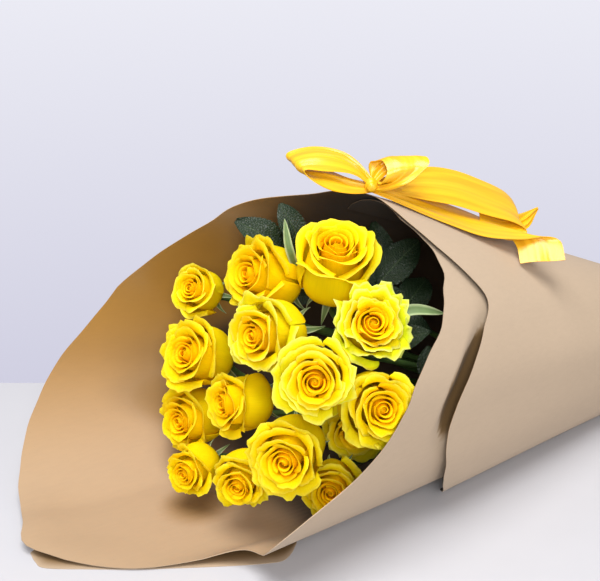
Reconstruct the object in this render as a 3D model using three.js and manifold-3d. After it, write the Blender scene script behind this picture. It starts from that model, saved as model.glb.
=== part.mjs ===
// A bunch of fifteen yellow roses in a roll of kraft paper, with a satin ribbon bow.
//
// Millimetres, +Z up. The bunch lies on its side on a table at z = 0. +X runs along the bunch to the cut
// ends of the stems, the mouth of the paper and the blooms look to -X, and the near side is -Y.
// The origin is on the table, under the paper's axis, below the knot of the bow.

import * as THREE from "three";
import Module from "manifold-3d";

const wasm = await Module();
wasm.setup();

const V = (x, y, z) => new THREE.Vector3(x, y, z);
const { lerp, degToRad, smoothstep } = THREE.MathUtils;
const UP = V(0, 0, 1);

// ---------------------------------------------------------------- driving dimensions

const CLEARANCE = 0.3;               // between pieces that touch

// the paper: a cone on its side, that stands on a flat strip
const ROLL_HEIGHT = 225;             // over the table at x = 0
const ROLL_TAPER = 0.405;            // height lost for each millimetre of x
const ROLL_END = 388;                // x of the narrow end
const ROLL_HALF_WIDTH = 0.495;       // of the height
const ROLL_WAIST = 0.47;             // height of the widest point, of the height
const ROLL_SAG = 1.03;               // how far the lower half would reach below the table, of the waist
const ROUND_ABOVE = 2;               // exponents of the section's curve above and below the waist:
const ROUND_BELOW = 2.3;             // 2 is an ellipse, more is squarer
const PAPER_THICK = 0.9;
const PAPER_LAYERS = 3.2;            // from one turn of the spiral to the next
const PAPER_STEP = 12;               // degrees of turn between creases, a divisor of 360
const PAPER_ROWS = 5;                // facets along the roll
const ROW_CROWDING = 1.3;            // exponent that makes the facets shorter towards the mouth

// the free edge of the paper round the mouth: turn in degrees from the top over the near side, and x.
// Past 360 it is the outer layer, which ends low on the near side.
const MOUTH = [
  [-31, 18], [0, 10], [20, 8], [40, 15], [60, -4], [80, -41], [90, -55], [104, -88], [118, -135],
  [130, -152], [148, -152], [159, -164], [169, -224], [177, -262], [185, -273], [193, -268],
  [210, -257], [230, -235], [250, -199], [270, -150], [290, -98], [300, -76], [310, -60], [328, -20],
  [345, -4], [360, 2], [376, 4], [392, 16], [404, 37], [413, 47], [424, 34], [440, 11], [456, -9],
  [472, -6], [488, 6], [509, 30],
];
const LOOSE_FROM = 436;              // turn where the outer layer starts to stand off the inner one
const LOOSE_END = 510;
const LOOSE_BY = 7;                  // how far it stands off at its end
// the sheet's corner stands a little off the layer below it: where, over what reach, and how far
const CORNER = { turn: 413, turnReach: 22, x: 40, xReach: 40, lift: 5 };

// the roses: diameter of the head, its centre, the way it faces, its turn about its own axis, and how far
// its stem bends aside to pass its neighbours
const ROSES = [
  { d: 40, at: [-97, 93, 140], faces: [-0.78, -0.39, 0.48], turn: 20, bend: [0, -8, 8] },
  { d: 54, at: [-72, 30, 167], faces: [-0.89, -0.15, 0.43], turn: 75, bend: [8, -14, 42] },
  { d: 59, at: [-39, -15, 186], faces: [-0.18, -0.41, 0.9], turn: 152, bend: [-3, 7, 2] },
  { d: 57, at: [-42, -64, 155], faces: [-0.32, -0.77, 0.56], turn: 200, bend: [-4, -8, 4] },
  { d: 52, at: [-94, -16, 144], faces: [-0.93, -0.3, 0.24], turn: 310, bend: [3, -2, 6] },
  { d: 53, at: [-114, 61, 99], faces: [-0.83, -0.26, 0.49], turn: 40, bend: [-8, -8, -28] },
  { d: 53, at: [-100, -90, 144], faces: [-0.59, -0.77, 0.25], turn: 136, bend: [-2, 4, 22] },
  { d: 53, at: [-56, -94, 112], faces: [-0.27, -0.91, 0.32], turn: 255, bend: [4, -10, 6] },
  { d: 46, at: [-111, 1, 86], faces: [-0.96, -0.15, 0.25], turn: 5, bend: [4, 28, 0] },
  { d: 47, at: [-123, 56, 50], faces: [-0.94, -0.29, 0.17], turn: 170, bend: [10, -38, -4] },
  { d: 52, at: [-113, -78, 85], faces: [-0.72, -0.69, 0.1], turn: 290, bend: [2, 39, 34] },
  { d: 39, at: [-144, 13, 33], faces: [-0.89, -0.44, 0.12], turn: 60, bend: [0, 6, -26] },
  { d: 40, at: [-127, -35, 46], faces: [-0.76, -0.65, -0.03], turn: 120, bend: [0, -4, 4] },
  { d: 43, at: [-75, -72, 42], faces: [-0.62, -0.75, 0.2], turn: 230, bend: [2, 4, -18] },
  { d: 46, at: [-30, -33, 61], faces: [-0.65, -0.75, -0.11], turn: 298, bend: [8, 44, -8] },
];
const HEAD_LENGTH = 0.98;            // of the head's diameter
const PETAL_THICK = 0.7;

// a head of diameter 1 on its own axis: layers of petals from the heart out. Each petal is a strip bent
// round the axis; spread is its angle, belly and lip are radii, height is the lip's, tuck is how much
// further out one edge lies than the other.
const PETAL_LAYERS = [
  { count: 1, spread: 340, cells: 5, belly: 0.2, lip: 0.15, height: 0.94, tuck: 0.24, first: 0 },
  { count: 3, spread: 140, cells: 3, belly: 0.33, lip: 0.3, height: 0.89, tuck: 0.1, first: 50 },
  { count: 4, spread: 118, cells: 3, belly: 0.46, lip: 0.48, height: 0.77, tuck: 0.06, first: 20 },
];
const PETAL_ROOT = { radius: 0.07, z: 0.1, share: 0.3 };
const PETAL_BELLY = { z: 0.36, share: 0.8 };
const LIP_DROP = 0.07;               // how much lower a petal's corners are than the middle of its lip
// the core that the petals stand out of: radius and height
const CORE = [[0.085, 0], [0.17, 0.11], [0.12, 0.34], [0.08, 0.84]];
const CORE_SIDES = 5;

// stems, packed in rows where they are tied
const STEM_ACROSS = 4.8;             // over the flats
const STEM_SIDES = 5;
const STEM_RADIUS = STEM_ACROSS / Math.sqrt(3);
const STEM_ROWS = [2, 3, 4, 3, 2, 1];
const STEM_PITCH = STEM_ACROSS + 0.9;
const TIED_X = 230;                  // from here the stems lie straight
const TIE_X = 250;
const TIE_SIDES = 12;
const TIE_WIDTH = 9;
const TIE_THICK = 1.6;
const TIE_SLACK = 0.9;               // between the tie and the outermost stems
const BUNDLE_Y = 4;                  // the bundle lies on the paper, at its middle
const CUT_ENDS = [425, 418, 431, 421, 428];
const STEM_STEPS = 6;                // facets along the curved part
const STEM_NECK = 40;                // point below the bloom that settles its place in the bundle
const STEM_LEAD = 46;                // how far a stem keeps its bloom's direction
const STEM_DRAW = 120;               // how far before TIED_X it turns along the bunch
// the green cup below the head
const HIP_LENGTH = 9;
const HIP_RADIUS = 0.088;            // of the head's diameter
const HIP_OVER_STEM = 3;             // how far its foot goes down into the stem
const HIP_BULGE = 4.5;               // how far below the head its lower edge is
const SEPALS = 5;
const SEPAL_REACH = 0.28;            // of the head's diameter
const SEPAL_DROOP = 0.32;
const SEPAL_ROOT = -2.4;             // height of the sepals where they leave the cup
const SEPAL_THICK = 0.9;

// leaves: the rose that carries it, how far below the hip it leaves the stem, where its tip reaches to,
// the length of the end leaflet, and the sides that have a leaflet beside it
const LEAVES = [
  { rose: 1, below: 60, tip: [-4, 84, 158], leaflet: 34, sides: [-1] },
  { rose: 2, below: 46, tip: [-70, 80, 198], leaflet: 44, sides: [-1] },
  { rose: 3, below: 36, tip: [-40, 62, 212], leaflet: 36, sides: [] },
  { rose: 3, below: 34, tip: [60, 14, 178], leaflet: 50, sides: [-1, 1] },
  { rose: 2, below: 90, tip: [42, 52, 186], leaflet: 42, sides: [-1, 1] },
  { rose: 4, below: 36, tip: [68, 12, 144], leaflet: 46, sides: [-1] },
  { rose: 4, below: 30, tip: [14, -62, 138], leaflet: 34, sides: [1] },
  { rose: 8, below: 70, tip: [62, -66, 110], leaflet: 38, sides: [-1, 1] },
];
const LEAF_FACES = V(-0.4, -0.7, 0.6);
const LEAF_THICK = 0.8;
const LEAF_WIDTH = 0.56;             // of the leaflet's length
const LEAF_TEETH = 3;
const LEAF_NOTCH = 0.84;             // half width between two teeth, of the half width at a tooth
const LEAF_ARCH = 0.12;              // rise of the rib's middle, of the length
const LEAF_FOLD = 0.28;              // rise of the edges over the rib, of the half width
const PETIOLE = 1.1;                 // radius
// the leaflets beside the end one, all in shares of its length: how far below it they leave
// the stalk, and how far along and aside they reach
const PAIR = { back: 0.22, along: 0.34, aside: 0.62 };

// the bow: its own axes point right along the table, up, and away from the near side
const BOW_AT = V(2, 0, 238);
const BOW_RIGHT = V(0.857, -0.515, 0);
const BOW_AWAY = V(0.515, 0.857, 0);
const RIBBON_THICK = 0.8;
const KNOT = { half: 9, neck: 5.4, radius: 5.5, endRadius: 3.5, sides: 7, drop: 2 };

// ---------------------------------------------------------------- solids

// A closed body of triangles as a manifold
function solidOf(points, triangles) {
  const vertProperties = new Float32Array(points.length * 3);
  points.forEach((p, i) => p.toArray(vertProperties, 3 * i));
  const mesh = new wasm.Mesh({ numProp: 3, vertProperties, triVerts: new Uint32Array(triangles.flat()) });
  return new wasm.Manifold(mesh);
}

function unionOf(solids) {
  return solids.reduce((whole, solid) => whole.add(solid));
}

function meshOf(name, solid, material) {
  const { vertProperties, triVerts } = solid.getMesh();
  const geometry = new THREE.BufferGeometry();
  geometry.setAttribute("position", new THREE.BufferAttribute(vertProperties, 3));
  geometry.setIndex(new THREE.BufferAttribute(triVerts, 1));
  geometry.computeVertexNormals();
  const mesh = new THREE.Mesh(geometry, material);
  mesh.name = name;
  return mesh;
}

// A sheet of the given thickness whose middle surface is the grid of points rows[j][i]. Its front is the
// side that (next in row) x (next row) points to. Both faces are split into the same triangles.
function sheet(rows, thick) {
  const high = rows.length;
  const wide = rows[0].length;
  const points = [];
  for (const side of [0.5, -0.5]) {
    for (let j = 0; j < high; j++) {
      for (let i = 0; i < wide; i++) {
        const across = rows[j][Math.min(i + 1, wide - 1)].clone().sub(rows[j][Math.max(i - 1, 0)]);
        const along = rows[Math.min(j + 1, high - 1)][i].clone().sub(rows[Math.max(j - 1, 0)][i]);
        const normal = across.cross(along).normalize();
        points.push(rows[j][i].clone().addScaledVector(normal, side * thick));
      }
    }
  }
  const back = wide * high;
  const triangles = [];
  for (let j = 0; j + 1 < high; j++) {
    for (let i = 0; i + 1 < wide; i++) {
      const [a, b, c, d] = [j * wide + i, j * wide + i + 1, (j + 1) * wide + i + 1, (j + 1) * wide + i];
      const halves = (i + j) % 2 ? [[a, b, c], [a, c, d]] : [[a, b, d], [b, c, d]];
      for (const [p, q, r] of halves) triangles.push([p, q, r], [back + p, back + r, back + q]);
    }
  }
  const rim = [];
  for (let i = 0; i < wide - 1; i++) rim.push(i);
  for (let j = 0; j < high - 1; j++) rim.push(j * wide + wide - 1);
  for (let i = wide - 1; i > 0; i--) rim.push((high - 1) * wide + i);
  for (let j = high - 1; j > 0; j--) rim.push(j * wide);
  rim.forEach((p, k) => {
    const q = rim[(k + 1) % rim.length];
    triangles.push([p, back + p, back + q], [p, back + q, q]);
  });
  return solidOf(points, triangles);
}

// A solid skin over rings of points, each ring counter-clockwise seen from its far end
function loft(rings) {
  const n = rings[0].length;
  const points = rings.flat();
  const last = (rings.length - 1) * n;
  const triangles = [];
  for (let k = 0; k + 1 < rings.length; k++) {
    for (let i = 0; i < n; i++) {
      const [a, b] = [k * n + i, k * n + (i + 1) % n];
      triangles.push([a, b, b + n], [a, b + n, a + n]);
    }
  }
  for (let i = 1; i + 1 < n; i++) triangles.push([0, i + 1, i], [last, last + i, last + i + 1]);
  return solidOf(points, triangles);
}

// A round bar through the points of a path, with a radius at each; level keeps its facets upright
function bar(path, radii, sides, level = UP) {
  return loft(path.map((at, k) => {
    const along = path[Math.min(k + 1, path.length - 1)].clone().sub(path[Math.max(k - 1, 0)]).normalize();
    const right = level.clone().cross(along).normalize();
    const top = along.clone().cross(right);
    return Array.from({ length: sides }, (_, i) => {
      const a = 2 * Math.PI * (i + 0.5) / sides;
      return at.clone().addScaledVector(right, radii[k] * Math.cos(a))
        .addScaledVector(top, radii[k] * Math.sin(a));
    });
  }));
}

// A smooth value through [place, value] pairs
function through(pairs, place) {
  const later = pairs.findIndex(([p]) => p > place);
  const at = later < 0 ? pairs.length - 2 : Math.max(later - 1, 0);
  const [p0, v0] = pairs[at];
  const [p1, v1] = pairs[at + 1];
  const slope = (i) => {
    const a = pairs[Math.max(i - 1, 0)];
    const b = pairs[Math.min(i + 1, pairs.length - 1)];
    return (b[1] - a[1]) / (b[0] - a[0]);
  };
  const t = (place - p0) / (p1 - p0);
  const [s0, s1] = [slope(at) * (p1 - p0), slope(at + 1) * (p1 - p0)];
  return (2 * t ** 3 - 3 * t ** 2 + 1) * v0 + (t ** 3 - 2 * t ** 2 + t) * s0
    + (3 * t ** 2 - 2 * t ** 3) * v1 + (t ** 3 - t ** 2) * s1;
}

// ---------------------------------------------------------------- the paper

const power = (value, exponent) => Math.sign(value) * Math.abs(value) ** exponent;

// A point of the paper's middle surface: turn in degrees from the top over the near side, x, and how far
// it stands off the inner turn
function paperPoint(turn, x, off) {
  const height = ROLL_HEIGHT - ROLL_TAPER * x;
  const angle = degToRad(90 - turn);
  const upper = Math.sin(angle) > 0;
  const exponent = 2 / (upper ? ROUND_ABOVE : ROUND_BELOW);
  const waist = ROLL_WAIST * height;
  const rise = upper ? height - waist : ROLL_SAG * waist;
  const y = -(ROLL_HALF_WIDTH * height + off) * power(Math.cos(angle), exponent);
  const z = waist + (rise + off) * power(Math.sin(angle), exponent);
  return V(x, y, Math.max(z, PAPER_THICK / 2));
}

// How far the paper stands off the inner turn: the layers below it, its loose end and its raised corner
function paperOff(turn, x) {
  const layers = PAPER_LAYERS * Math.max(turn, 0) / 360;
  if (turn <= 360) return layers;
  const taper = (ROLL_HEIGHT - ROLL_TAPER * x) / ROLL_HEIGHT;
  const loose = LOOSE_BY * smoothstep(turn, LOOSE_FROM, LOOSE_END) * taper;
  const aside = (turn - CORNER.turn) / CORNER.turnReach;
  const along = (x - CORNER.x) / CORNER.xReach;
  return layers + loose + CORNER.lift * Math.exp(-(aside ** 2) - along ** 2);
}

function paperWrap(material) {
  const rows = [];
  for (let turn = MOUTH[0][0]; turn <= MOUTH.at(-1)[0]; turn += PAPER_STEP) {
    const mouth = through(MOUTH, turn);
    const row = [];
    for (let k = 0; k <= PAPER_ROWS; k++) {
      const x = lerp(mouth, ROLL_END, (k / PAPER_ROWS) ** ROW_CROWDING);
      row.push(paperPoint(turn, x, paperOff(turn, x)));
    }
    rows.push(row);
  }
  return meshOf("paper_wrap", sheet(rows, PAPER_THICK), material);
}

// ---------------------------------------------------------------- the blooms

// One petal of a head of diameter 1: root sunk in the core, belly, lip
function petal({ spread, cells, belly, lip, height, tuck }, middle, diameter) {
  const levels = [
    { ...PETAL_ROOT, drop: 0 },
    { ...PETAL_BELLY, radius: belly, drop: 0 },
    { radius: lip, z: height, share: 1, drop: LIP_DROP },
  ];
  const rows = levels.map(({ radius, z, share, drop }) => (
    Array.from({ length: cells + 1 }, (_, i) => {
      const u = 2 * i / cells - 1;
      const angle = degToRad(middle + u * spread / 2 * share);
      const out = radius * (1 + tuck * u * share) * diameter;
      const up = (z - drop * u * u) * diameter * HEAD_LENGTH;
      return V(out * Math.cos(angle), out * Math.sin(angle), up);
    })
  ));
  return sheet(rows, PETAL_THICK);
}

function core(diameter) {
  return loft(CORE.map(([radius, z]) => Array.from({ length: CORE_SIDES }, (_, i) => {
    const angle = 2 * Math.PI * i / CORE_SIDES;
    const out = radius * diameter;
    return V(out * Math.cos(angle), out * Math.sin(angle), z * diameter * HEAD_LENGTH);
  })));
}

function bloom(rose, name, material) {
  const petals = PETAL_LAYERS.flatMap((layer) => Array.from({ length: layer.count }, (_, k) => (
    petal(layer, rose.turn + layer.first + 360 * k / layer.count, rose.d)
  )));
  const mesh = meshOf(name, unionOf([core(rose.d), ...petals]), material);
  mesh.position.copy(rose.base);
  mesh.quaternion.setFromUnitVectors(UP, rose.faces);
  return mesh;
}

// ---------------------------------------------------------------- stems, sepals and leaves

// Places in the tied bundle: the lowest blooms take the lowest row, from the near side to the far side
function bundlePlaces(roses) {
  const low = PAPER_THICK + CLEARANCE + TIE_THICK + TIE_SLACK + STEM_RADIUS;
  const waiting = [...roses].sort((a, b) => a.neck.z - b.neck.z);
  STEM_ROWS.forEach((count, row) => {
    const taken = waiting.splice(0, count).sort((a, b) => a.neck.y - b.neck.y);
    taken.forEach((rose, i) => {
      const y = BUNDLE_Y + (i - (count - 1) / 2) * STEM_PITCH;
      rose.place = V(0, y, low + row * STEM_PITCH * Math.sqrt(3) / 2);
    });
  });
}

// The stem's curve from under the hip to the tie, a Bezier curve, then straight to its cut end
function stemCurve(rose) {
  const start = rose.base.clone().addScaledVector(rose.faces, -CLEARANCE - HIP_LENGTH);
  const tied = rose.place.clone().setX(TIED_X);
  const draw = rose.place.clone().setX(TIED_X - STEM_DRAW);
  return new THREE.CubicBezierCurve3(start, rose.lead, draw, tied);
}

// The green cup under the head with its star of sepals bent back, on the head's own axis
function hip(rose) {
  const cup = HIP_RADIUS * rose.d;
  const foot = [STEM_RADIUS * 0.9, -HIP_LENGTH - HIP_OVER_STEM];
  const bulge = [cup, -HIP_BULGE];
  const top = [cup * 0.8, 0];
  const tip = [SEPAL_REACH * rose.d, -SEPAL_DROOP * rose.d];
  const between = [cup * 1.25, SEPAL_ROOT];
  const under = ([out, z]) => [out, z - SEPAL_THICK];
  // radius and height at the sepals and between them, from the stem up
  const pairs = [[foot, foot], [bulge, bulge], [under(tip), under(between)], [tip, between], [top, top]];
  const rings = pairs.map((pair) => Array.from({ length: 2 * SEPALS }, (_, i) => {
    const [out, z] = pair[i % 2];
    return V(out, 0, z).applyAxisAngle(UP, degToRad(rose.turn) + Math.PI * i / SEPALS);
  }));
  const turned = new THREE.Matrix4().compose(
    rose.base.clone().addScaledVector(rose.faces, -CLEARANCE),
    new THREE.Quaternion().setFromUnitVectors(UP, rose.faces),
    V(1, 1, 1),
  );
  return loft(rings).transform(turned.elements);
}

// A leaflet with a toothed edge, folded a little along its rib and drooping to its tip
function leaflet(root, tip, normal) {
  const along = tip.clone().sub(root);
  const length = along.length();
  along.normalize();
  const side = normal.clone().cross(along).normalize();
  const face = along.clone().cross(side);
  const rows = [];
  const steps = 2 * LEAF_TEETH;
  for (let k = 0; k <= steps; k++) {
    const t = k / steps;
    const full = LEAF_WIDTH / 2 * length * Math.sin(Math.PI * t ** 0.85) ** 0.75 + 0.5;
    const half = k % 2 || k === 0 || k === steps ? full : full * LEAF_NOTCH;
    const rib = root.clone().addScaledVector(along, t * length)
      .addScaledVector(face, LEAF_ARCH * length * Math.sin(Math.PI * t));
    rows.push([-1, 0, 1].map((s) => rib.clone().addScaledVector(side, s * half)
      .addScaledVector(face, LEAF_FOLD * half * Math.abs(s))
      .addScaledVector(along, k % 2 ? 0.03 * length * Math.abs(s) : 0)));
  }
  return sheet(rows, LEAF_THICK);
}

// A leaf: a stalk from the stem, one leaflet at its end and others beside it
function leaf(curve, { below, tip, leaflet: size, sides }) {
  const root = curve.getPointAt(below / curve.getLength());
  const end = V(...tip);
  const along = end.clone().sub(root).normalize();
  const base = end.clone().addScaledVector(along, -size);
  const side = LEAF_FACES.clone().cross(along).normalize();
  const face = along.clone().cross(side);
  const fork = base.clone().addScaledVector(along, -size * PAIR.back);
  const inside = base.clone().addScaledVector(along, 3).addScaledVector(face, 3 * Math.PI * LEAF_ARCH);
  const stalk = bar([root, fork, inside], [PETIOLE, PETIOLE, PETIOLE * 0.6], 4);
  const pair = sides.map((s) => leaflet(fork, fork.clone()
    .addScaledVector(along, size * PAIR.along).addScaledVector(side, s * size * PAIR.aside), face));
  return unionOf([stalk, leaflet(base, end, face), ...pair]);
}

function stem(rose, number, material) {
  const curve = stemCurve(rose);
  const path = curve.getSpacedPoints(STEM_STEPS);
  path.push(rose.place.clone().setX(CUT_ENDS[number % CUT_ENDS.length]));
  const stalk = bar(path, path.map(() => STEM_RADIUS), STEM_SIDES);
  const leaves = LEAVES.filter((one) => one.rose === number).map((one) => leaf(curve, one));
  const name = `rose_${String(number).padStart(2, "0")}_stem`;
  return meshOf(name, unionOf([stalk, hip(rose), ...leaves]), material);
}

// A band round the bundle, as far out in each direction as the stems reach
function stemTie(roses, material) {
  const middle = roses.reduce((sum, rose) => sum.add(rose.place), V(0, 0, 0)).divideScalar(roses.length);
  const ring = (x, more) => Array.from({ length: TIE_SIDES }, (_, k) => {
    const angle = 2 * Math.PI * k / TIE_SIDES;
    const out = V(0, Math.cos(angle), Math.sin(angle));
    const reach = Math.max(...roses.map((rose) => rose.place.clone().sub(middle).dot(out)));
    return middle.clone().addScaledVector(out, reach + STEM_RADIUS + TIE_SLACK + more).setX(x);
  });
  const outside = loft([ring(TIE_X, TIE_THICK), ring(TIE_X + TIE_WIDTH, TIE_THICK)]);
  const inside = loft([ring(TIE_X - 1, 0), ring(TIE_X + TIE_WIDTH + 1, 0)]);
  return meshOf("stem_tie", outside.subtract(inside), material);
}

// ---------------------------------------------------------------- the bow

// A piece of ribbon through stations: place and way across in the bow's axes, width, and hollow, which
// is how far its middle lies behind its edges
function ribbon(stations, steps, cells) {
  const world = ([right, up, away]) => BOW_AT.clone().addScaledVector(BOW_RIGHT, right)
    .addScaledVector(UP, up).addScaledVector(BOW_AWAY, away);
  const middle = new THREE.CatmullRomCurve3(stations.map(({ at }) => world(at)));
  const ways = new THREE.CatmullRomCurve3(stations.map(({ across }) => world(across).sub(BOW_AT)));
  const sizes = new THREE.CatmullRomCurve3(stations.map(({ width, hollow = 0 }) => V(width, hollow, 0)));
  const rows = [];
  for (let k = 0; k <= steps; k++) {
    const t = k / steps;
    const across = ways.getPoint(t).normalize();
    const face = across.clone().cross(middle.getTangent(t)).normalize();
    const size = sizes.getPoint(t);
    rows.push(Array.from({ length: cells + 1 }, (_, i) => {
      const s = 2 * i / cells - 1;
      return middle.getPoint(t).addScaledVector(across, s * size.x / 2)
        .addScaledVector(face, size.y * (s * s - 0.5));
    }));
  }
  return sheet(rows, RIBBON_THICK);
}

const LEFT_LOOP = [
  { at: [2, -2, 0], across: [0, -0.6, -0.8], width: 7 },
  { at: [-16, 13, 3], across: [0.2, -0.6, -0.8], width: 20, hollow: 2 },
  { at: [-38, 18, 2], across: [0.25, -0.5, -0.83], width: 27, hollow: 3 },
  { at: [-55, 16, 0], across: [0.45, -0.25, -0.86], width: 28 },
  { at: [-52, 9, 0], across: [0.45, -0.25, -0.86], width: 28 },
  { at: [-33, 4, 0], across: [0.2, -0.45, -0.87], width: 26, hollow: -3 },
  { at: [-15, -2, 0], across: [0, -0.4, -0.9], width: 16, hollow: -2 },
  { at: [2, -4, 0], across: [0, -0.6, -0.8], width: 7 },
];
const RIGHT_LOOP = [
  { at: [0, -2, 2], across: [0.1, -0.6, -0.8], width: 7 },
  { at: [5, 7, 5], across: [0.75, -0.2, -0.6], width: 16, hollow: 1 },
  { at: [14, 15, 5], across: [0.97, 0.05, -0.2], width: 26, hollow: 2 },
  { at: [23, 18.5, 0], across: [1, 0.1, 0.05], width: 31, hollow: 1 },
  { at: [26, 13, -8], across: [0.98, 0.18, 0.08], width: 31, hollow: 1 },
  { at: [19, 4, -9], across: [0.93, 0.22, -0.05], width: 27, hollow: -1 },
  { at: [9, -1, -5], across: [0.6, -0.2, -0.6], width: 15, hollow: -1 },
  { at: [0, -4, 0], across: [0.1, -0.6, -0.8], width: 7 },
];
const NEAR_TAIL = [
  { at: [0, -4, -1], across: [0, -0.6, -0.8], width: 7 },
  { at: [18, -10, 0], across: [0, -0.5, -0.85], width: 15 },
  { at: [54, -27, 14], across: [0.15, -0.4, -0.9], width: 28 },
  { at: [82, -39, 22], across: [0.25, -0.35, -0.9], width: 33 },
  { at: [106, -46, 28], across: [0.6, -0.2, -0.77], width: 34 },
  { at: [121, -48, 25], across: [0.9, 0, -0.45], width: 34 },
  { at: [132, -54, 19], across: [0.97, 0.12, -0.15], width: 34 },
  { at: [134, -65, 7], across: [0.97, 0.12, -0.1], width: 34 },
];
const FAR_TAIL = [
  { at: [0, -2, 2], across: [0, -0.6, -0.8], width: 7 },
  { at: [18, -4, 8], across: [0, -0.7, -0.7], width: 16 },
  { at: [42, -6, 18], across: [0, -0.65, -0.75], width: 30 },
  { at: [67, -13, 31], across: [0, -0.6, -0.8], width: 34 },
  { at: [93, -25, 44], across: [0, -0.55, -0.83], width: 34 },
  { at: [115, -36, 54], across: [0.1, -0.45, -0.88], width: 34 },
  { at: [124, -45, 52], across: [0.15, -0.38, -0.92], width: 33 },
  { at: [112, -48, 42], across: [0.1, -0.36, -0.93], width: 33 },
  { at: [88, -38, 30], across: [0, -0.36, -0.93], width: 30 },
];

function knot() {
  const { half, neck, radius, endRadius, sides, drop } = KNOT;
  const path = [-half, -neck, neck, half].map((away) => (
    BOW_AT.clone().addScaledVector(BOW_AWAY, away).addScaledVector(UP, -drop)
  ));
  return bar(path, [endRadius, radius, radius, endRadius], sides);
}

function ribbonBow(material) {
  const pieces = [
    ribbon(LEFT_LOOP, 12, 2),
    ribbon(RIGHT_LOOP, 12, 2),
    ribbon(NEAR_TAIL, 9, 2),
    ribbon(FAR_TAIL, 11, 2),
    knot(),
  ];
  return meshOf("ribbon_bow", unionOf(pieces), material);
}

// ---------------------------------------------------------------- the bunch

const finish = (color, roughness, metalness = 0) => (
  new THREE.MeshStandardMaterial({ color, roughness, metalness, side: THREE.DoubleSide })
);
const PETALS = finish(0xe6be05, 0.55);
const GREEN = finish(0x3a4a24, 0.6);
const KRAFT = finish(0xcfaa82, 0.85);
const SATIN = finish(0xf0b81e, 0.35);
const TWINE = finish(0xb59a6a, 0.9);

const roses = ROSES.map(({ d, at, faces, turn, bend }) => {
  const way = V(...faces).normalize();
  const base = V(...at).addScaledVector(way, -HEAD_LENGTH / 2 * d);
  const lead = base.clone().addScaledVector(way, -HIP_LENGTH - STEM_LEAD).add(V(...bend));
  const neck = base.clone().addScaledVector(way, -STEM_NECK);
  return { d, turn, faces: way, base, lead, neck };
});
bundlePlaces(roses);

const bunch = new THREE.Group();
bunch.add(paperWrap(KRAFT));
roses.forEach((rose, i) => {
  const name = `rose_${String(i + 1).padStart(2, "0")}_bloom`;
  bunch.add(bloom(rose, name, PETALS), stem(rose, i + 1, GREEN));
});
bunch.add(stemTie(roses, TWINE), ribbonBow(SATIN));

export default bunch;
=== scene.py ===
import math

import bpy
import numpy as np
from bpy.props import FloatProperty, FloatVectorProperty, IntProperty, PointerProperty
from mathutils import Matrix, Vector


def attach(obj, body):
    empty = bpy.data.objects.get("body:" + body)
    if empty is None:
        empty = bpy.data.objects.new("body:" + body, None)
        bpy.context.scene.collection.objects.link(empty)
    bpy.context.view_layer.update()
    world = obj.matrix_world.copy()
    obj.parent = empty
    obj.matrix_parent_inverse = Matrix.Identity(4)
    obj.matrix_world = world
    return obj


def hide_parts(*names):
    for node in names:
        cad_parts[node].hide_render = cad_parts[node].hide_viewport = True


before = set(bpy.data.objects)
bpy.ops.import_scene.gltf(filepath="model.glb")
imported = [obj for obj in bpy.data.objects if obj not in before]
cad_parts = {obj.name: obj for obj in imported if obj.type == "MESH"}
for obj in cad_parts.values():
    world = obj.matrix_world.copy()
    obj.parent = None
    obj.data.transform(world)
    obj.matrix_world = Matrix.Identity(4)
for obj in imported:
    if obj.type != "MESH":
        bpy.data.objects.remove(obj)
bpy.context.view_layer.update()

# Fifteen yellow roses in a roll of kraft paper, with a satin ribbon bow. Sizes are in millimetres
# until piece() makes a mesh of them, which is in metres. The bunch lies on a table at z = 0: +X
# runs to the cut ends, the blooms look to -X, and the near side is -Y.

bl_info = {
    "name": "Wrapped rose bunch",
    "version": (1, 0, 0),
    "blender": (4, 5, 0),
    "location": "View3D > Sidebar > Rose bunch",
    "description": "Makes a wrapped bunch of yellow roses, piece by piece",
    "category": "Add Mesh",
}

MM = 0.001
UP = np.array([0.0, 0.0, 1.0])

# ---------------------------------------------------------------- the CAD's own measures

# the sheet starts and ends at these turns, in degrees from the top over the near side, so another
# layer lies over it up to LAPPED_TO
PAPER_FROM, PAPER_TO = -31, 509
LAPPED_TO = PAPER_TO - 360
PAPER_GAP, PAPER_CAD_THICK = 3.5, 0.9
# the roll's height at x = 0, what it loses for each mm of x, the x of its end, its half width and
# its waist in heights, how far it sags, and the power that rounds its under side
ROLL = {"height": 225, "taper": 0.405, "end": 388, "half_width": 0.495, "waist": 0.47, "sag": 1.03,
        "under": 2.3}
# the free edge round the mouth: turn, and x
MOUTH = np.array([
    [-31, 18], [0, 10], [20, 8], [40, 15], [60, -4], [80, -41], [90, -55], [104, -88],
    [118, -135], [130, -149], [148, -146], [159, -164], [169, -214], [177, -246], [185, -273],
    [193, -268], [210, -257], [230, -235], [250, -199], [270, -150], [290, -98], [300, -76],
    [310, -60], [328, -20], [345, -4], [360, 2], [376, 4], [392, 16], [404, 37], [413, 47],
    [424, 34], [440, 11], [456, -9], [472, -6], [488, 6], [509, 30],
], float)

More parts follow.
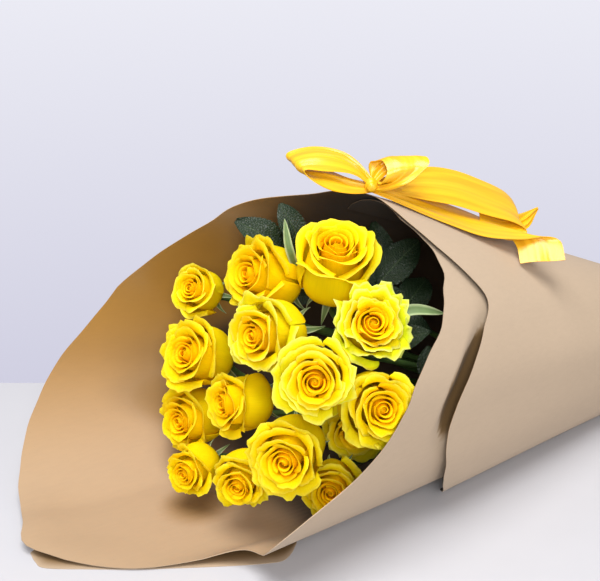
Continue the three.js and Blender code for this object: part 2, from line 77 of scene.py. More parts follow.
# head diameter, centre, way it faces, turn, stem's bend; how ruffled, how lime, how open, number of
# petals, and how far they reach, in radii
ROSES = [
    (40, (-97, 93, 140), (-0.78, -0.39, 0.48), 20, (0, -8, 8), 0.5, 0.5, 0.8, 10, 1.17),
    (54, (-72, 30, 167), (-0.89, -0.15, 0.43), 75, (8, -14, 42), 0.7, 0.3, 0.7, 11, 1.2),
    (59, (-39, -15, 186), (-0.18, -0.41, 0.9), 152, (-3, 7, 2), 0.5, 0.35, 0.75, 13, 1.17),
    (57, (-42, -64, 155), (-0.32, -0.77, 0.56), 200, (-4, -8, 4), 1.9, 1.0, 1.2, 15, 1.04),
    (52, (-94, -16, 144), (-0.93, -0.3, 0.24), 310, (3, -2, 6), 0.9, 0.78, 1.0, 12, 1.17),
    (53, (-114, 61, 99), (-0.83, -0.26, 0.49), 40, (-8, -8, -28), 1.0, 0.3, 1.0, 12, 1.18),
    (53, (-100, -90, 144), (-0.59, -0.77, 0.25), 136, (-2, 4, 22), 0.9, 0.75, 1.1, 14, 1.07),
    (53, (-56, -94, 112), (-0.27, -0.91, 0.32), 255, (4, -10, 6), 1.0, 0.5, 1.0, 14, 1.1),
    (46, (-111, 1, 86), (-0.96, -0.15, 0.25), 5, (4, 28, 0), 0.8, 0.3, 0.85, 11, 1.18),
    (47, (-123, 56, 50), (-0.94, -0.29, 0.17), 170, (10, -38, -4), 1.0, 0.2, 0.9, 11, 1.24),
    (52, (-113, -78, 85), (-0.72, -0.69, 0.1), 290, (2, 39, 34), 1.0, 0.4, 1.05, 13, 1.12),
    (39, (-144, 13, 33), (-0.89, -0.44, 0.12), 60, (0, 6, -26), 0.9, 0.2, 0.95, 11, 1.06),
    (40, (-127, -35, 46), (-0.76, -0.65, -0.03), 120, (0, -4, 4), 1.0, 0.4, 1.05, 11, 1.13),
    (43, (-75, -72, 42), (-0.62, -0.75, 0.2), 230, (2, 4, -18), 0.9, 0.5, 0.95, 12, 1.12),
    (46, (-30, -33, 61), (-0.65, -0.75, -0.11), 298, (8, 44, -8), 0.9, 0.6, 0.95, 11, 1.15),
]
# a head's length in its diameters, and the gap between solids that touch
HEAD_LENGTH, CLEARANCE = 0.98, 0.3
# the solid stems are six-sided and this far across their flats; the round ones have this radius
STEM_ACROSS, STEM_ROUND = 4.8, 2.35
STEM_RADIUS = STEM_ACROSS / math.sqrt(3)
# stems in each row of the bundle from the lowest, the bundle's place, and its stems' pitch
STEM_ROWS, BUNDLE_Y, STEM_PITCH = (2, 3, 4, 3, 2, 1), 4, STEM_ACROSS + 0.9
# how far a stem runs on straight behind its hip, where its place in the bundle is judged, how far
# before the tie it is led in, and its points
STEM_LEAD, STEM_NECK, STEM_DRAW, STEM_POINTS = 46, 40, 120, 56
TIED_X, TIE_X, TIE_WIDTH, TIE_THICK, TIE_SLACK = 230, 250, 9, 1.6, 0.9
CUT_ENDS = (425, 418, 431, 421, 428)
HIP_LENGTH, HIP_RADIUS = 9, 0.088

BOW_AT = np.array([2.0, 0.0, 238.0])
BOW_AXES = np.array([[0.857, -0.515, 0.0], [0.0, 0.0, 1.0], [0.515, 0.857, 0.0]])


# ---------------------------------------------------------------- shaders

def overloads(operation):
    """An operator that adds its Math node, and its reflected form"""
    return (lambda self, other: self.maths(operation, self, other),
            lambda self, other: self.maths(operation, other, self))


class Shade:
    """A value on its way through a material. Sums and products of it add their Math nodes."""

    def __init__(self, finish, socket):
        self.finish = finish
        self.socket = socket

    def out(self, name):
        """Another output of the node that this value comes from"""
        return Shade(self.finish, self.socket.node.outputs[name])

    def maths(self, operation, *values):
        return self.finish.node("Math", {"operation": operation}, dict(enumerate(values)))

    __add__, __radd__ = overloads("ADD")
    __sub__, __rsub__ = overloads("SUBTRACT")
    __mul__, __rmul__ = overloads("MULTIPLY")
    __mod__, __rmod__ = overloads("FLOORED_MODULO")

    def __abs__(self):
        return self.maths("ABSOLUTE", self)

    def step(self, low, high):
        """0 at low to 1 at high, or the other way round, smoothly"""
        return self.finish.node("MapRange", {"interpolation_type": "SMOOTHSTEP"},
                                {"Value": self, "From Min": low, "From Max": high})


class Finish:
    """The nodes of a material, or of the room, while they are made"""

    def __init__(self, owner):
        self.owner = owner
        owner.use_nodes = True
        self.tree = owner.node_tree
        self.tree.nodes.clear()

    def node(self, kind, settings=None, values=None, out=0):
        """Adds a node: its settings first, then the values or links of its sockets"""
        made = self.tree.nodes.new("ShaderNode" + kind)
        for key, value in (settings or {}).items():
            setattr(made, key, value)
        for key, value in (values or {}).items():
            if isinstance(value, Shade):
                self.tree.links.new(value.socket, made.inputs[key])
            else:
                made.inputs[key].default_value = value
        return Shade(self, made.outputs[out]) if made.outputs else None

    def mix(self, a, b, factor, blend="MIX"):
        a, b = (value if isinstance(value, Shade) else (*value, 1) for value in (a, b))
        settings = {"data_type": "RGBA", "blend_type": blend}
        return self.node("Mix", settings, {0: factor, 6: a, 7: b}, 2)

    def tone(self, colour, amount):
        """The colour made lighter or darker: amount 1 leaves it as it is"""
        grey = self.node("CombineColor", {}, {"Red": amount, "Green": amount, "Blue": amount})
        return self.mix(colour, grey, 1, "MULTIPLY")

    def noise(self, vector, scale, detail=3, stretch=(1, 1, 1)):
        placed = self.node("VectorMath", {"operation": "MULTIPLY"}, {0: vector, 1: stretch})
        return self.node("TexNoise", {}, {"Vector": placed, "Scale": scale, "Detail": detail})

    def bump(self, height, distance, strength=1.0, under=None):
        values = {"Height": height, "Distance": distance, "Strength": strength}
        if under:
            values["Normal"] = under
        return self.node("Bump", {}, values)

    def surface(self, base, roughness, normal=None, **constants):
        values = {"Base Color": base, "Roughness": roughness}
        if normal:
            values["Normal"] = normal
        values.update({key.replace("_", " "): value for key, value in constants.items()})
        self.node("OutputMaterial", {}, {"Surface": self.node("BsdfPrincipled", {}, values)})
        return self.owner


def new_finish(name):
    return Finish(bpy.data.materials.new(name))


def petal_finish(look):
    """A petal's mark holds how far along it a point is, its ring, how lime it is, and a draw"""
    f = new_finish("rose_petal")
    mark = f.node("Attribute", {"attribute_name": "mark"})
    parts = f.node("SeparateColor", {}, {"Color": mark})
    along, ring = parts, parts.out("Green")
    lime, seed = parts.out("Blue"), mark.out("Alpha")
    where = f.node("UVMap")
    base = f.mix(look.heart, look.body, ring.step(0.0, 0.5) * 0.8 + along.step(0.5, 1.0) * 0.2)
    base = f.mix(base, look.outer, ring.step(0.35, 1.0) * along.step(0.25, 0.9) * lime * lime)
    base = f.mix(base, look.root, along.step(0.45, 0.05) * 0.7)
    edge = along.step(0.93, 1.0) * ring.step(0.1, 0.6)
    base = f.mix(base, look.lip, edge * (0.06 + lime * lime * 0.6))
    vein = f.noise(where, 1.0, 2, (70, 2.5, 1))
    patch = f.noise(where, 3.0, 2)
    base = f.tone(base, 0.86 + vein * 0.14 + patch * 0.1 + seed * 0.08)
    normal = f.bump(vein, 0.0004, 0.5)
    return f.surface(base, 0.5 + patch * 0.16, normal, Subsurface_Weight=0.5,
                     Subsurface_Radius=(0.0035, 0.0025, 0.0004), Subsurface_Scale=1.0,
                     Specular_IOR_Level=0.05)


def leaf_finish(look):
    f = new_finish("rose_leaf")
    where = f.node("SeparateXYZ", {}, {"Vector": f.node("UVMap")})
    side, along = abs(where - 0.5) * 2, where.out("Y")
    place = f.node("NewGeometry")
    ribs = abs((along * 9 - side * 2.6) % 1 - 0.5)
    vein = ribs.step(0.07, 0.0) * side.step(1.0, 0.5) + side.step(0.07, 0.02)
    net = f.node("TexVoronoi", {"feature": "DISTANCE_TO_EDGE"}, {"Vector": place, "Scale": 480})
    blotch = f.noise(place, 45)
    base = f.mix(look.leaf, look.leaf_light, blotch.step(0.4, 0.7) * 0.5)
    base = f.mix(base, look.vein, vein.maths("MINIMUM", vein, 1) * 0.35)
    normal = f.bump(net.step(0.0, 0.25) - vein * 0.8, 0.0005, 0.6)
    return f.surface(base, 0.3 + blotch * 0.2, normal, Specular_IOR_Level=0.32)


def stem_finish(look):
    f = new_finish("rose_stem")
    place = f.node("NewGeometry")
    streak = f.noise(place, 90, 4, (0.25, 1, 1))
    base = f.mix(look.stem, look.stem_dark, streak.step(0.35, 0.7))
    normal = f.bump(streak, 0.0003, 0.6)
    return f.surface(base, 0.42 + streak * 0.2, normal, Specular_IOR_Level=0.45)


def sepal_finish(look):
    f = new_finish("rose_sepal")
    where = f.node("SeparateXYZ", {}, {"Vector": f.node("UVMap")})
    side = abs(where - 0.5) * 2
    mottle = f.noise(f.node("NewGeometry"), 260)
    base = f.mix(look.sepal, look.sepal_edge, side.step(0.4, 1.0) * 0.85)
    base = f.tone(base, 0.8 + mottle * 0.4)
    return f.surface(base, 0.5 + mottle * 0.1, f.bump(mottle, 0.0003, 0.5), Sheen_Weight=0.15)


def pith_finish(look):
    f = new_finish("cut_pith")
    grain = f.noise(f.node("NewGeometry"), 1400, 2)
    base = f.mix(look.pith, look.stem, grain.step(0.45, 0.75) * 0.5)
    return f.surface(base, 0.7 + grain * 0.1, f.bump(grain, 0.0002))


def kraft_finish(look):
    """The mark holds the paper's side, its painted warm shade and its painted dark shade"""
    f = new_finish("kraft_paper")
    place = f.node("NewGeometry")
    cloud = f.noise(place, 7, 3)
    fibre = f.noise(place, 420, 4, (0.22, 1, 1))
    speck = f.noise(place, 900, 1)
    tone = 0.93 + cloud * 0.08 + fibre * 0.09 - speck.step(0.68, 0.8) * 0.10
    mark = f.node("Attribute", {"attribute_name": "mark"})
    inside = f.node("SeparateColor", {}, {"Color": mark})
    # the side facing the roses is painted darker and warmer, as shade and the roses' yellow light
    # inside the roll
    base = f.mix(look.colour, look.inside, inside)
    # painted warm shade where the mark's green says, painted dark shade where its blue says
    base = f.mix(base, look.painted_warm_shade, inside.out("Green"))
    base = f.tone(f.mix(base, look.depth, inside.out("Blue") * 0.95), tone)
    soft = f.noise(place, 26, 2)
    normal = f.bump(fibre, 0.00012, 0.5, f.bump(soft, 0.0014, 0.35))
    return f.surface(base, 0.74 + fibre * 0.14, normal, Specular_IOR_Level=0.28, Sheen_Weight=0.06)


def satin_finish(look):
    f = new_finish("satin_ribbon")
    where = f.node("UVMap")
    thread = f.noise(where, 1.0, 2, (420, 26, 1))
    streak = f.noise(where, 1.0, 1, (7, 1.6, 1))
    weft = f.noise(where, 1.0, 1, (30, 2200, 1))
    # painted shade and sheen: the streaks darken the satin in soft bands along it
    base = f.mix(look.shade, look.colour, streak.step(0.3, 0.65))
    base = f.tone(base, 0.95 + thread * 0.06)
    normal = f.bump(thread * 0.4 + weft * 0.6, 0.00004, 0.25, f.bump(streak, 0.0012, 0.3))
    return f.surface(base, 0.24 + streak * 0.12, normal, Anisotropic=0.5, Specular_IOR_Level=0.6)


def twine_finish(look):
    f = new_finish("tie_twine")
    where = f.node("UVMap")
    ply = f.noise(where, 1.0, 3, (6, 900, 1))
    base = f.tone(look.twine, 0.75 + ply * 0.5)
    return f.surface(base, 0.8 + ply * 0.1, f.bump(ply, 0.0003))


# ---------------------------------------------------------------- meshes

def smooth(value, low, high):
    """0 at low to 1 at high, smoothly"""
    t = np.clip((value - low) / (high - low), 0, 1)
    return t * t * (3 - 2 * t)


def bell(value, middle, reach):
    """1 at the middle, falling to nothing a few reaches from it"""
    return np.exp(-((value - middle) / reach) ** 2)


def through(pairs, place):
    """A smooth curve through (place, value) pairs"""
    x, y = pairs[:, 0], pairs[:, 1]
    slope = np.empty_like(y)
    slope[1:-1] = (y[2:] - y[:-2]) / (x[2:] - x[:-2])
    slope[0] = (y[1] - y[0]) / (x[1] - x[0])
    slope[-1] = (y[-1] - y[-2]) / (x[-1] - x[-2])
    at = np.clip(np.searchsorted(x, place, "right") - 1, 0, len(x) - 2)
    gap = x[at + 1] - x[at]
    t = (place - x[at]) / gap
    return ((2 * t ** 3 - 3 * t ** 2 + 1) * y[at] + (t ** 3 - 2 * t ** 2 + t) * slope[at] * gap
            + (3 * t ** 2 - 2 * t ** 3) * y[at + 1] + (t ** 3 - t ** 2) * slope[at + 1] * gap)


def catmull(stations, count):
    """Points of a smooth curve through stations, evenly spaced in the stations' numbers"""
    stations = np.asarray(stations, float)
    before, after = 2 * stations[0] - stations[1], 2 * stations[-1] - stations[-2]
    whole = np.array([before, *stations, after])
    place = np.linspace(0, len(stations) - 1, count)
    at = np.minimum(place.astype(int), len(stations) - 2)
    t = (place - at)[:, None]
    a, b, c, d = (whole[at + k] for k in range(4))
    return 0.5 * (2 * b + (c - a) * t + (2 * a - 5 * b + 4 * c - d) * t ** 2
                  + (3 * b - a - 3 * c + d) * t ** 3)


def unit(vectors):
    return vectors / np.linalg.norm(vectors, axis=-1, keepdims=True)


def lengths_along(path):
    """How far along a path each of its points lies"""
    return np.concatenate([[0], np.cumsum(np.linalg.norm(np.diff(path, axis=0), axis=1))])


def turned(faces):
    """The matrix that turns +Z to the way that a head faces"""
    way = Vector((0, 0, 1)).rotation_difference(Vector(faces).normalized())
    return np.array(way.to_matrix())


class Form:
    """The points, faces, marks and finish numbers of one piece, gathered part by part"""

    def __init__(self):
        self.points, self.faces, self.uvs, self.marks, self.finishes = [], [], [], [], []
        self.size = 0

    def add(self, points, faces, uv, mark=(0, 0, 0, 0), finish=0):
        points = np.asarray(points, float).reshape(-1, 3)
        self.points.append(points)
        self.faces += [[int(i) + self.size for i in face] for face in faces]
        self.uvs.append(np.asarray(uv, float).reshape(-1, 2))
        self.marks.append(np.broadcast_to(np.asarray(mark, float), (len(points), 4)))
        self.finishes += [finish] * len(faces)
        self.size += len(points)

    def sheet(self, grid, thick, marks=((0, 0, 0, 0), (0, 0, 0, 0)), finish=0):
        """A closed sheet round a grid of middle points, grid[row, column]; marks are four values
        for its front and four for its back, each one value or a grid of them"""
        rows, columns = grid.shape[:2]
        normal = unit(np.cross(np.gradient(grid, axis=1), np.gradient(grid, axis=0)))
        half = np.broadcast_to(np.asarray(thick, float) / 2, (rows, columns))[..., None]
        points = np.concatenate([grid + normal * half, grid - normal * half])
        index = np.arange(rows * columns).reshape(rows, columns)
        corners = index[:-1, :-1], index[:-1, 1:], index[1:, 1:], index[1:, :-1]
        front = np.stack(corners, -1).reshape(-1, 4)
        rim = np.concatenate([index[0, :-1], index[:-1, -1], index[-1, :0:-1], index[:0:-1, 0]])
        after = np.roll(rim, -1)
        size = rows * columns
        sides = np.stack([rim, rim + size, after + size, after], -1)
        v, u = np.meshgrid(np.linspace(0, 1, rows), np.linspace(0, 1, columns), indexing="ij")
        uv = np.stack([u, v], -1).reshape(-1, 2)
        marks = [[np.broadcast_to(value, (rows, columns)).ravel() for value in side]
                 for side in marks]
        marks = np.concatenate([np.stack(side, -1) for side in marks])
        faces = np.concatenate([front, front[:, ::-1] + size, sides])
        self.add(points, faces, np.tile(uv, (2, 1)), marks, finish)

    def tube(self, path, radii, sides=12, finish=0, cap=None, level=UP):
        """A round bar along a path; cap is the finish of its last end"""
        path = np.asarray(path, float)
        along = unit(np.gradient(path, axis=0))
        right = unit(np.cross(level, along))
        top = np.cross(along, right)
        angle = (2 * np.pi * np.arange(sides) / sides)[None, :, None]
        radii = np.broadcast_to(radii, len(path))[:, None, None]
        ring = np.cos(angle) * right[:, None] + np.sin(angle) * top[:, None]
        points = (path[:, None] + radii * ring).reshape(-1, 3)
        faces = []
        for k in range(len(path) - 1):
            for i in range(sides):
                a, b = k * sides + i, k * sides + (i + 1) % sides
                faces.append([a, b, b + sides, a + sides])
        faces.append(list(range(sides))[::-1])
        length = lengths_along(path)[:, None] * MM
        uv = np.stack(np.broadcast_arrays(np.arange(sides)[None] / sides, length), -1)
        self.add(points, faces, uv, finish=finish)
        self.faces.append(list(range(self.size - sides, self.size)))
        self.finishes.append(finish if cap is None else cap)

    def piece(self, name, finishes, slot, nodes, sharp=50):
        """Makes the object, in metres, rides it on the root body and hides the CAD parts it stands
        for
        """
        mesh = bpy.data.meshes.new(name)
        mesh.from_pydata((np.concatenate(self.points) * MM).tolist(), [], self.faces)
        if mesh.validate(verbose=False):
            raise RuntimeError(f"{name}: the mesh had faults")
        for finish in finishes:
            mesh.materials.append(finish)
        mesh.polygons.foreach_set("material_index", self.finishes)
        mesh.polygons.foreach_set("use_smooth", [True] * len(self.faces))
        loops = np.empty(len(mesh.loops), int)
        mesh.loops.foreach_get("vertex_index", loops)
        layer = mesh.uv_layers.new(name="UVMap")
        layer.data.foreach_set("uv", np.concatenate(self.uvs)[loops].ravel())
        colours = mesh.color_attributes.new("mark", "FLOAT_COLOR", "POINT")
        colours.data.foreach_set("color", np.concatenate(self.marks).ravel())
        mesh.set_sharp_from_angle(angle=math.radians(sharp))
        mesh.update()
        made = bpy.data.objects.new(name, mesh)
        bpy.context.scene.collection.objects.link(made)
        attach(made, "root")
        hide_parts(*nodes)
        return made


# ---------------------------------------------------------------- the paper

# how finely the sheet is divided, round the roll and along it
PAPER_COLUMNS, PAPER_ROWS = 271, 120
# sines that crinkle the mouth's edge: degrees to a radian, phase, height
CRINKLE = ((3.1, 0, 0.5), (1.7, 1, 0.35), (5.3, 2, 0.6))
# what a turn adds to the roll, and how far its loose edge and its corner stand off the layer inside
LAYER, LOOSE_EDGE, LOOSE_CORNER = 3.2, 7, 1.5
# the hollow beside the outer layer's free edge: its middle and half its span in degrees, its depth,
# how far it goes in under the edge, and how much longer the slit of shade in it is
GROOVE = {"turn": 82, "reach": 16, "depth": 7, "wide": 14, "slit": 1.3}
# where the mouth's lip is lifted off the table: turn, half span, height; and how far in that goes
LIP_LIFTS, LIP_REACH = ((192, 13, 9), (153, 10, 8)), 34
# turns between which the far wall's painted warm shade comes in and goes
FAR_WALL_SHADE = (205, 275), (335, 365)
# turns at which the low side ends, and where shade starts and is full on it and behind the roses
LOW_SIDE_ENDS = 250, 275
SHADE_LOW, SHADE_BEHIND = (-108, -75), (-65, 15)
# how far the roses' shade reaches on the table side and on the far wall, how deep it is, and how
# much less on that wall and past it
NEAR_ON_TABLE, NEAR_ON_WALL = 26, 75
NEAR_SHADE, WALL_LESS, FAR_LESS = 0.55, 0.02, 0.43
# the hem turned under the lip that lies on the table: its outer and inner edges
HEM_OUTER = [(-271, 20), (-271, 8), (-267, -2), (-241, -19), (-213, -36), (-187, -50),
             (-156, -66), (-132, -77), (-121, -80), (-112, -76), (-103, -68)]
HEM_INNER = [(-262, 26), (-256, 17), (-249, 8), (-229, -7), (-207, -21), (-179, -34),
             (-153, -46), (-130, -57), (-118, -62), (-109, -64), (-100, -64)]
HEM_THICK, HEM_HIGH, HEM_LIFT = 0.4, 0.3, 0.6


def signed_power(value, exponent):
    return np.sign(value) * np.abs(value) ** exponent


def edge_over(turns):
    """x of the free edge of the layer that lies over each turn, up to LAPPED_TO"""
    return through(MOUTH, np.where(turns > LAPPED_TO, turns, turns + 360))[None]


def paper_grid(turns, rows, wave):
    """Middle points of the paper, [row along the roll, column by turn]"""
    crinkle = sum(np.sin(turns / pitch + phase) * high for pitch, phase, high in CRINKLE)
    mouth = (through(MOUTH, turns) + crinkle * (0.5 + 1.6 * bell(turns, 40, 28)))[None]
    k = np.linspace(0, 1, rows)[:, None]
    x = mouth + (ROLL["end"] - mouth) * k ** 1.3
    turn = np.broadcast_to(turns[None], x.shape)
    height = ROLL["height"] - ROLL["taper"] * x
    taper = height / ROLL["height"]
    off = LAYER * np.maximum(turn, 0) / 360
    loose = LOOSE_EDGE * smooth(turn, 436, 510) * taper
    corner = LOOSE_CORNER * np.exp(-((turn - 413) / 22) ** 2 - ((x - 40) / 40) ** 2)
    off = off + np.where(turn > 360, loose + corner, 0)
    edge = edge_over(turns)
    groove = GROOVE["depth"] * bell(turn, GROOVE["turn"], GROOVE["reach"])
    groove = groove * (smooth(x, edge - GROOVE["wide"], edge) - smooth(x, edge + 12, edge + 50))
    off = off - np.where(turn < LAPPED_TO, groove, 0)
    a = np.radians(turn)
    ripple = (np.sin(5 * a + 0.6) * 0.5 + np.sin(9 * a + 2.1) * 0.35
              + np.sin(14 * a + x / 90) * 0.22 + np.sin(x / 47 + 3 * a) * 0.25)
    off = off + wave * ripple * taper
    angle = np.radians(90 - turn)
    upper = np.sin(angle) > 0
    exponent = np.where(upper, 1.0, 2 / ROLL["under"])
    waist = ROLL["waist"] * height
    rise = np.where(upper, height - waist, ROLL["sag"] * waist)
    y = -(ROLL["half_width"] * height + off) * signed_power(np.cos(angle), exponent)
    z = waist + (rise + off) * signed_power(np.sin(angle), exponent)
    lift = sum(high * bell(turn, at, span) for at, span, high in LIP_LIFTS)
    over_hem = HEM_LIFT * np.exp(-((turn - 172) / 20) ** 4) * bell(x, mouth, 60)
    z = np.maximum(z, PAPER_CAD_THICK / 2) + lift * bell(x, mouth, LIP_REACH) + over_hem
    return np.stack([x, y, z], -1)


def within_paper(points):
    """The points, those that come too close to the paper pulled in towards its axis"""
    x, y, z = np.moveaxis(points, -1, 0)
    height = ROLL["height"] - ROLL["taper"] * x
    waist = ROLL["waist"] * height
    above = z > waist
    rise = np.where(above, height - waist, ROLL["sag"] * waist)
    wide = ROLL["half_width"] * height
    power = np.where(above, 2.0, ROLL["under"])
    level = (np.abs(y / wide) ** power + np.abs((z - waist) / rise) ** power) ** (1 / power)
    pull = np.minimum(1, (1 - PAPER_GAP / wide) / np.maximum(level, 0.1))
    return np.stack([x, y * pull, waist + (z - waist) * pull], -1)


def outer_mark(grid, turns):
    """The outer side's mark: a slit of shade where the groove goes in under the free edge"""
    x = grid[..., 0]
    span = (turns - GROOVE["turn"]) / GROOVE["reach"] / GROOVE["slit"]
    lens = np.maximum(0, 1 - span ** 2) * (turns < LAPPED_TO)
    start = edge_over(turns) - lens ** 1.5 * GROOVE["wide"]
    slit = smooth(x, start, start + 2.5) * smooth(lens, 0, 0.45)
    return 0, slit, slit * 0.7, 0


def inner_mark(grid, turns):
    """The inner side's mark: the far wall's painted warm shade, and painted shade behind and beside
    the roses
    """
    x = grid[..., 0]
    # painted warm shade on the far wall, which faces away from the light
    far = smooth(turns, *FAR_WALL_SHADE[0]) * (1 - smooth(turns, *FAR_WALL_SHADE[1]))
    # painted dark shade deep in the roll behind the roses, coming further forward on the low side
    low = 1 - smooth(turns, *LOW_SIDE_ENDS)
    start, full = (a + (b - a) * low for a, b in zip(SHADE_BEHIND, SHADE_LOW))
    deep = smooth((x - start) / (full - start), 0, 1)
    # painted shade close beside the roses, reaching further on the far wall
    beside = [np.linalg.norm(grid - at, axis=-1) - diameter / 2 for diameter, at, *_ in ROSES]
    wall = smooth(turns, 215, 240)
    reach = NEAR_ON_TABLE + (NEAR_ON_WALL - NEAR_ON_TABLE) * wall
    near = 1 - smooth(np.min(beside, axis=0) / reach, 0.3, 1)
    shade = NEAR_SHADE - WALL_LESS * wall - FAR_LESS * smooth(turns, 245, 268)
    # less of the far wall's painted warm shade just inside the mouth's upper rim
    rim = bell(turns, 295, 18) * (1 - smooth(x - through(MOUTH, turns), 10, 60))
    return 1, np.maximum(far * (1 - 0.6 * rim), near), np.maximum(deep, near * shade), 0


def add_hem(form):
    """The ply turned under the lip, flat on the table"""
    outer, inner = [catmull([(*at, HEM_HIGH) for at in edge], 60)[:, None]
                    for edge in (HEM_OUTER, HEM_INNER)]
    s = np.linspace(0, 1, 7)[None, :, None]
    shade = smooth(s[..., 0], 1.1, 0.25)
    # painted shadow on the hem, darkest under the lip
    mark = (0, shade, shade * 0.75, 0)
    form.sheet(inner * (1 - s) + outer * s, HEM_THICK, [mark, mark])


def make_paper(look):
    form = Form()
    turns = np.linspace(PAPER_FROM, PAPER_TO, PAPER_COLUMNS)
    grid = paper_grid(turns, PAPER_ROWS, look.wave / MM)
    form.sheet(grid, look.thickness / MM, [outer_mark(grid, turns), inner_mark(grid, turns)])
    add_hem(form)
    form.piece("paper_wrap_kraft", [kraft_finish(look)], "kraft_paper", ["paper_wrap"])


# ---------------------------------------------------------------- the blooms

# along the head's petals from the heart (0) to the outermost (1), in head diameters and degrees
RINGS = (0, 0.25, 0.5, 0.75, 1)
NECK_RADIUS = (0.115, 0.17, 0.235, 0.31, 0.385)
NECK_HEIGHT = (0.85, 0.845, 0.80, 0.72, 0.60)
NECK_TILT = (-6, 0, 4, 0, -10)
ROOT_TILT = (45, 62, 76, 88, 92)
ROLL_LENGTH = (0.07, 0.10, 0.135, 0.165, 0.19)
ROLL_ANGLE = (55, 66, 78, 94, 112)
SPREAD = (220, 190, 170, 155, 145)
# turns of the wound petal at the heart, and from each petal to the next
HEART_TURN, PETAL_TURN = 660, 137.5
# rows of points below and on the lip, and each one's share of the way along a petal
BODY_ROWS, LIP_ROWS, BODY_SHARE, LIP_SHARE = 11, 9, 0.78, 0.22


def waves(draw, u, numbers):
    """A few sines across a petal, with drawn phases, about 1 high"""
    sines = (np.sin(n * np.pi / 2 * u + draw.uniform(0, 6.28)) for n in numbers)
    return sum(sines) / len(numbers) ** 0.5


def petal_profile(root, root_tilt, neck, tilt, length, bend, hold):
    """Radius, height and way along of a petal: a Bezier curve from its root to its neck, where its
    lip starts to roll, and an arc for the lip. The neck's measures may vary across the petal."""
    s = np.linspace(0, 1, BODY_ROWS)[:, None]
    w = np.linspace(0, 1, LIP_ROWS)[1:, None]
    reach = np.hypot(neck[0] - root[0], neck[1] - root[1])
    bezier = (1 - s) ** 3, 3 * s * (1 - s) ** 2, 3 * s * s * (1 - s), s ** 3
    body = []
    for axis, held, led in ((0, math.sin(root_tilt), np.sin(tilt)),
                            (1, math.cos(root_tilt), np.cos(tilt))):
        points = (root[axis], root[axis] + hold * reach * held, neck[axis] - 0.5 * reach * led,
                  neck[axis])
        body.append(sum(b * p for b, p in zip(bezier, points)))
    arc = length / bend
    lip_radius = neck[0] + arc * (np.cos(tilt) - np.cos(tilt + bend * w))
    lip_height = neck[1] + arc * (np.sin(tilt + bend * w) - np.sin(tilt))
    along = np.concatenate([s * BODY_SHARE, BODY_SHARE + LIP_SHARE * w])
    return np.concatenate([body[0], lip_radius]), np.concatenate([body[1], lip_height]), along


